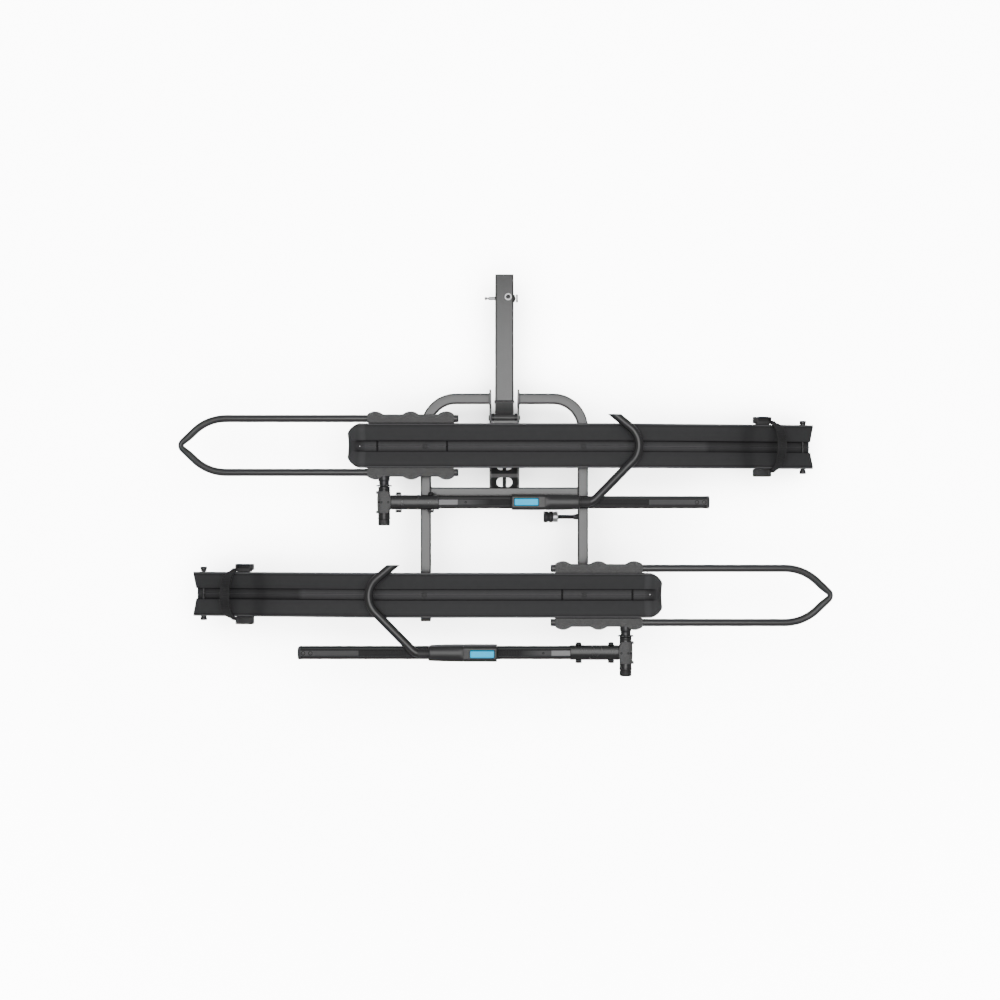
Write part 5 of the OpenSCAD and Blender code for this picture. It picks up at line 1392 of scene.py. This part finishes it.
bandParts = [strapBand(strap), strapFoot(strap, strapEnd, 1), strapFoot(strap, strapEnd, -1)]
for i in (0, 1):
    rowPiece(i, "strap_band", "frame", "strapRubber", bandParts, "strap", onSlope, sharp=30)
    rowPiece(i, "ratchet_block", "frame", "blackPlastic", ratchetParts(block), "ratchet", onSlope)
    rowPiece(i, "ratchet_handle", "ratchet_lever", "darkPlastic", strapLeverParts(strapLever),
             "ratchet_lever", onSlope)
anchors = [inRow(i, onSlope(part)) for i in (0, 1) for part in anchorParts(block)]
rods = [inRow(i, onSlope(part)) for i in (0, 1) for part in rodParts(rod)]
addPiece("strap_anchor_blocks", "frame", "blackPlastic", anchors, ["strap_anchors"])
addPiece("cross_rod_set", "frame", "darkPaint", rods, ["cross_rods"])
print("straps made")

# Studio: a pale floor that curves up far away, a large soft light
# overhead and a second one for the floor alone
studio = {"floorZ": -0.092, "floorY": -0.6, "floorRadius": 12.0, "curve": 4.0, "wall": 10.0, "sides": 96,
          "lightAt": (0, -0.4, 4.6), "partLight": (3.4, 2.6), "partPower": 128.0, "floorLight": (14.0, 14.0),
          "floorPower": 12500.0, "skyLight": 0.22, "sideLight": 0.45, "glowFrom": 1.6, "glowTo": 9.0,
          "farGlow": 10.0, "cameraAt": (-0.0010, -0.6076, 3.300), "lens": 43.26, "shift": (-0.004, 0.018)}
floorLook = {"color": (0.86, 0.86, 0.86), "rough": 0.8, "grainScale": 40, "bump": 0.0, "shade": 0.004,
             "mottleScale": 3, "gloss": 0.0}


# Floor: a turned surface in metres, flat to its radius, then a quarter circle and a wall
def floorSurface(d):
    q = np.linspace(0, np.pi / 2, 17)
    far = d["floorRadius"] + d["curve"]
    r = np.concatenate([np.linspace(0.01, d["floorRadius"], 14),
                        d["floorRadius"] + d["curve"] * np.sin(q[1:]), [far]])
    z = np.concatenate([np.zeros(14), d["curve"] * (1 - np.cos(q[1:])), [d["wall"]]])[:, None]
    ring = circleLoop(1, d["sides"])
    pts = np.stack([r[:, None] * ring[:, 0], r[:, None] * ring[:, 1] + d["floorY"],
                    z + 0 * ring[:, 0] + d["floorZ"]], -1)
    faces = gridFaces(len(r), d["sides"])[:, ::-1].tolist()
    return pts.reshape(-1, 3).tolist(), faces + [list(range(d["sides"]))]


# Far from the part the floor glows a little, so that it stays as pale as it is near the lights
def glowFarAway(mat, d):
    tree = mat.node_tree
    place = tree.nodes.new("ShaderNodeTexCoord")
    away = tree.nodes.new("ShaderNodeVectorMath")
    away.operation = "LENGTH"
    tree.links.new(place.outputs["Object"], away.inputs[0])
    glow = mapped(tree, away.outputs["Value"], d["glowFrom"], d["glowTo"], 0.0, d["farGlow"])
    shader = tree.nodes["Principled BSDF"]
    shader.inputs["Emission Color"].default_value = (1, 1, 1, 1)
    tree.links.new(glow, shader.inputs["Emission Strength"])


scene = bpy.context.scene
floorMesh = bpy.data.meshes.new("floor")
floorPoints, floorFaces = floorSurface(studio)
floorMesh.from_pydata(floorPoints, [], floorFaces)
floorMesh.polygons.foreach_set("use_smooth", np.ones(len(floorMesh.polygons), bool))
floor = bpy.data.objects.new("floor", floorMesh)
scene.collection.objects.link(floor)
floor.visible_diffuse = floor.visible_glossy = False
paleFloor = makeFinish("paleFloor", floorLook)
glowFarAway(paleFloor, studio)
floorMesh.materials.append(paleFloor)

# Sky: an even soft light from all round, so that the sides are seen too
world = bpy.data.worlds.new("studio")
world.use_nodes = True
sky = world.node_tree
direction = sky.nodes.new("ShaderNodeTexCoord")
height = sky.nodes.new("ShaderNodeSeparateXYZ")
sky.links.new(direction.outputs["Generated"], height.inputs["Vector"])
fade = mapped(sky, height.outputs["Z"], 0.0, 1.0, studio["sideLight"], studio["skyLight"])
sky.links.new(fade, sky.nodes["Background"].inputs["Strength"])
sky.nodes["Background"].inputs["Color"].default_value = (1, 1, 1, 1)
scene.world = world

# Lights: the larger one reaches the floor alone
onlyFloor = bpy.data.collections.new("onlyFloor")
onlyFloor.objects.link(floor)
for name, power in (("partLight", studio["partPower"]), ("floorLight", studio["floorPower"])):
    lamp = bpy.data.lights.new(name, "AREA")
    lamp.shape, lamp.energy = "RECTANGLE", power
    lamp.size, lamp.size_y = studio[name]
    softbox = bpy.data.objects.new(name, lamp)
    softbox.location = studio["lightAt"]
    softbox.visible_camera = False
    scene.collection.objects.link(softbox)
    if name == "floorLight":
        softbox.light_linking.receiver_collection = onlyFloor

lens = bpy.data.cameras.new("overhead")
lens.lens, lens.sensor_width = studio["lens"], 36.0
lens.shift_x, lens.shift_y = studio["shift"]
overhead = bpy.data.objects.new("overhead", lens)
overhead.location = studio["cameraAt"]
scene.collection.objects.link(overhead)
scene.camera = overhead
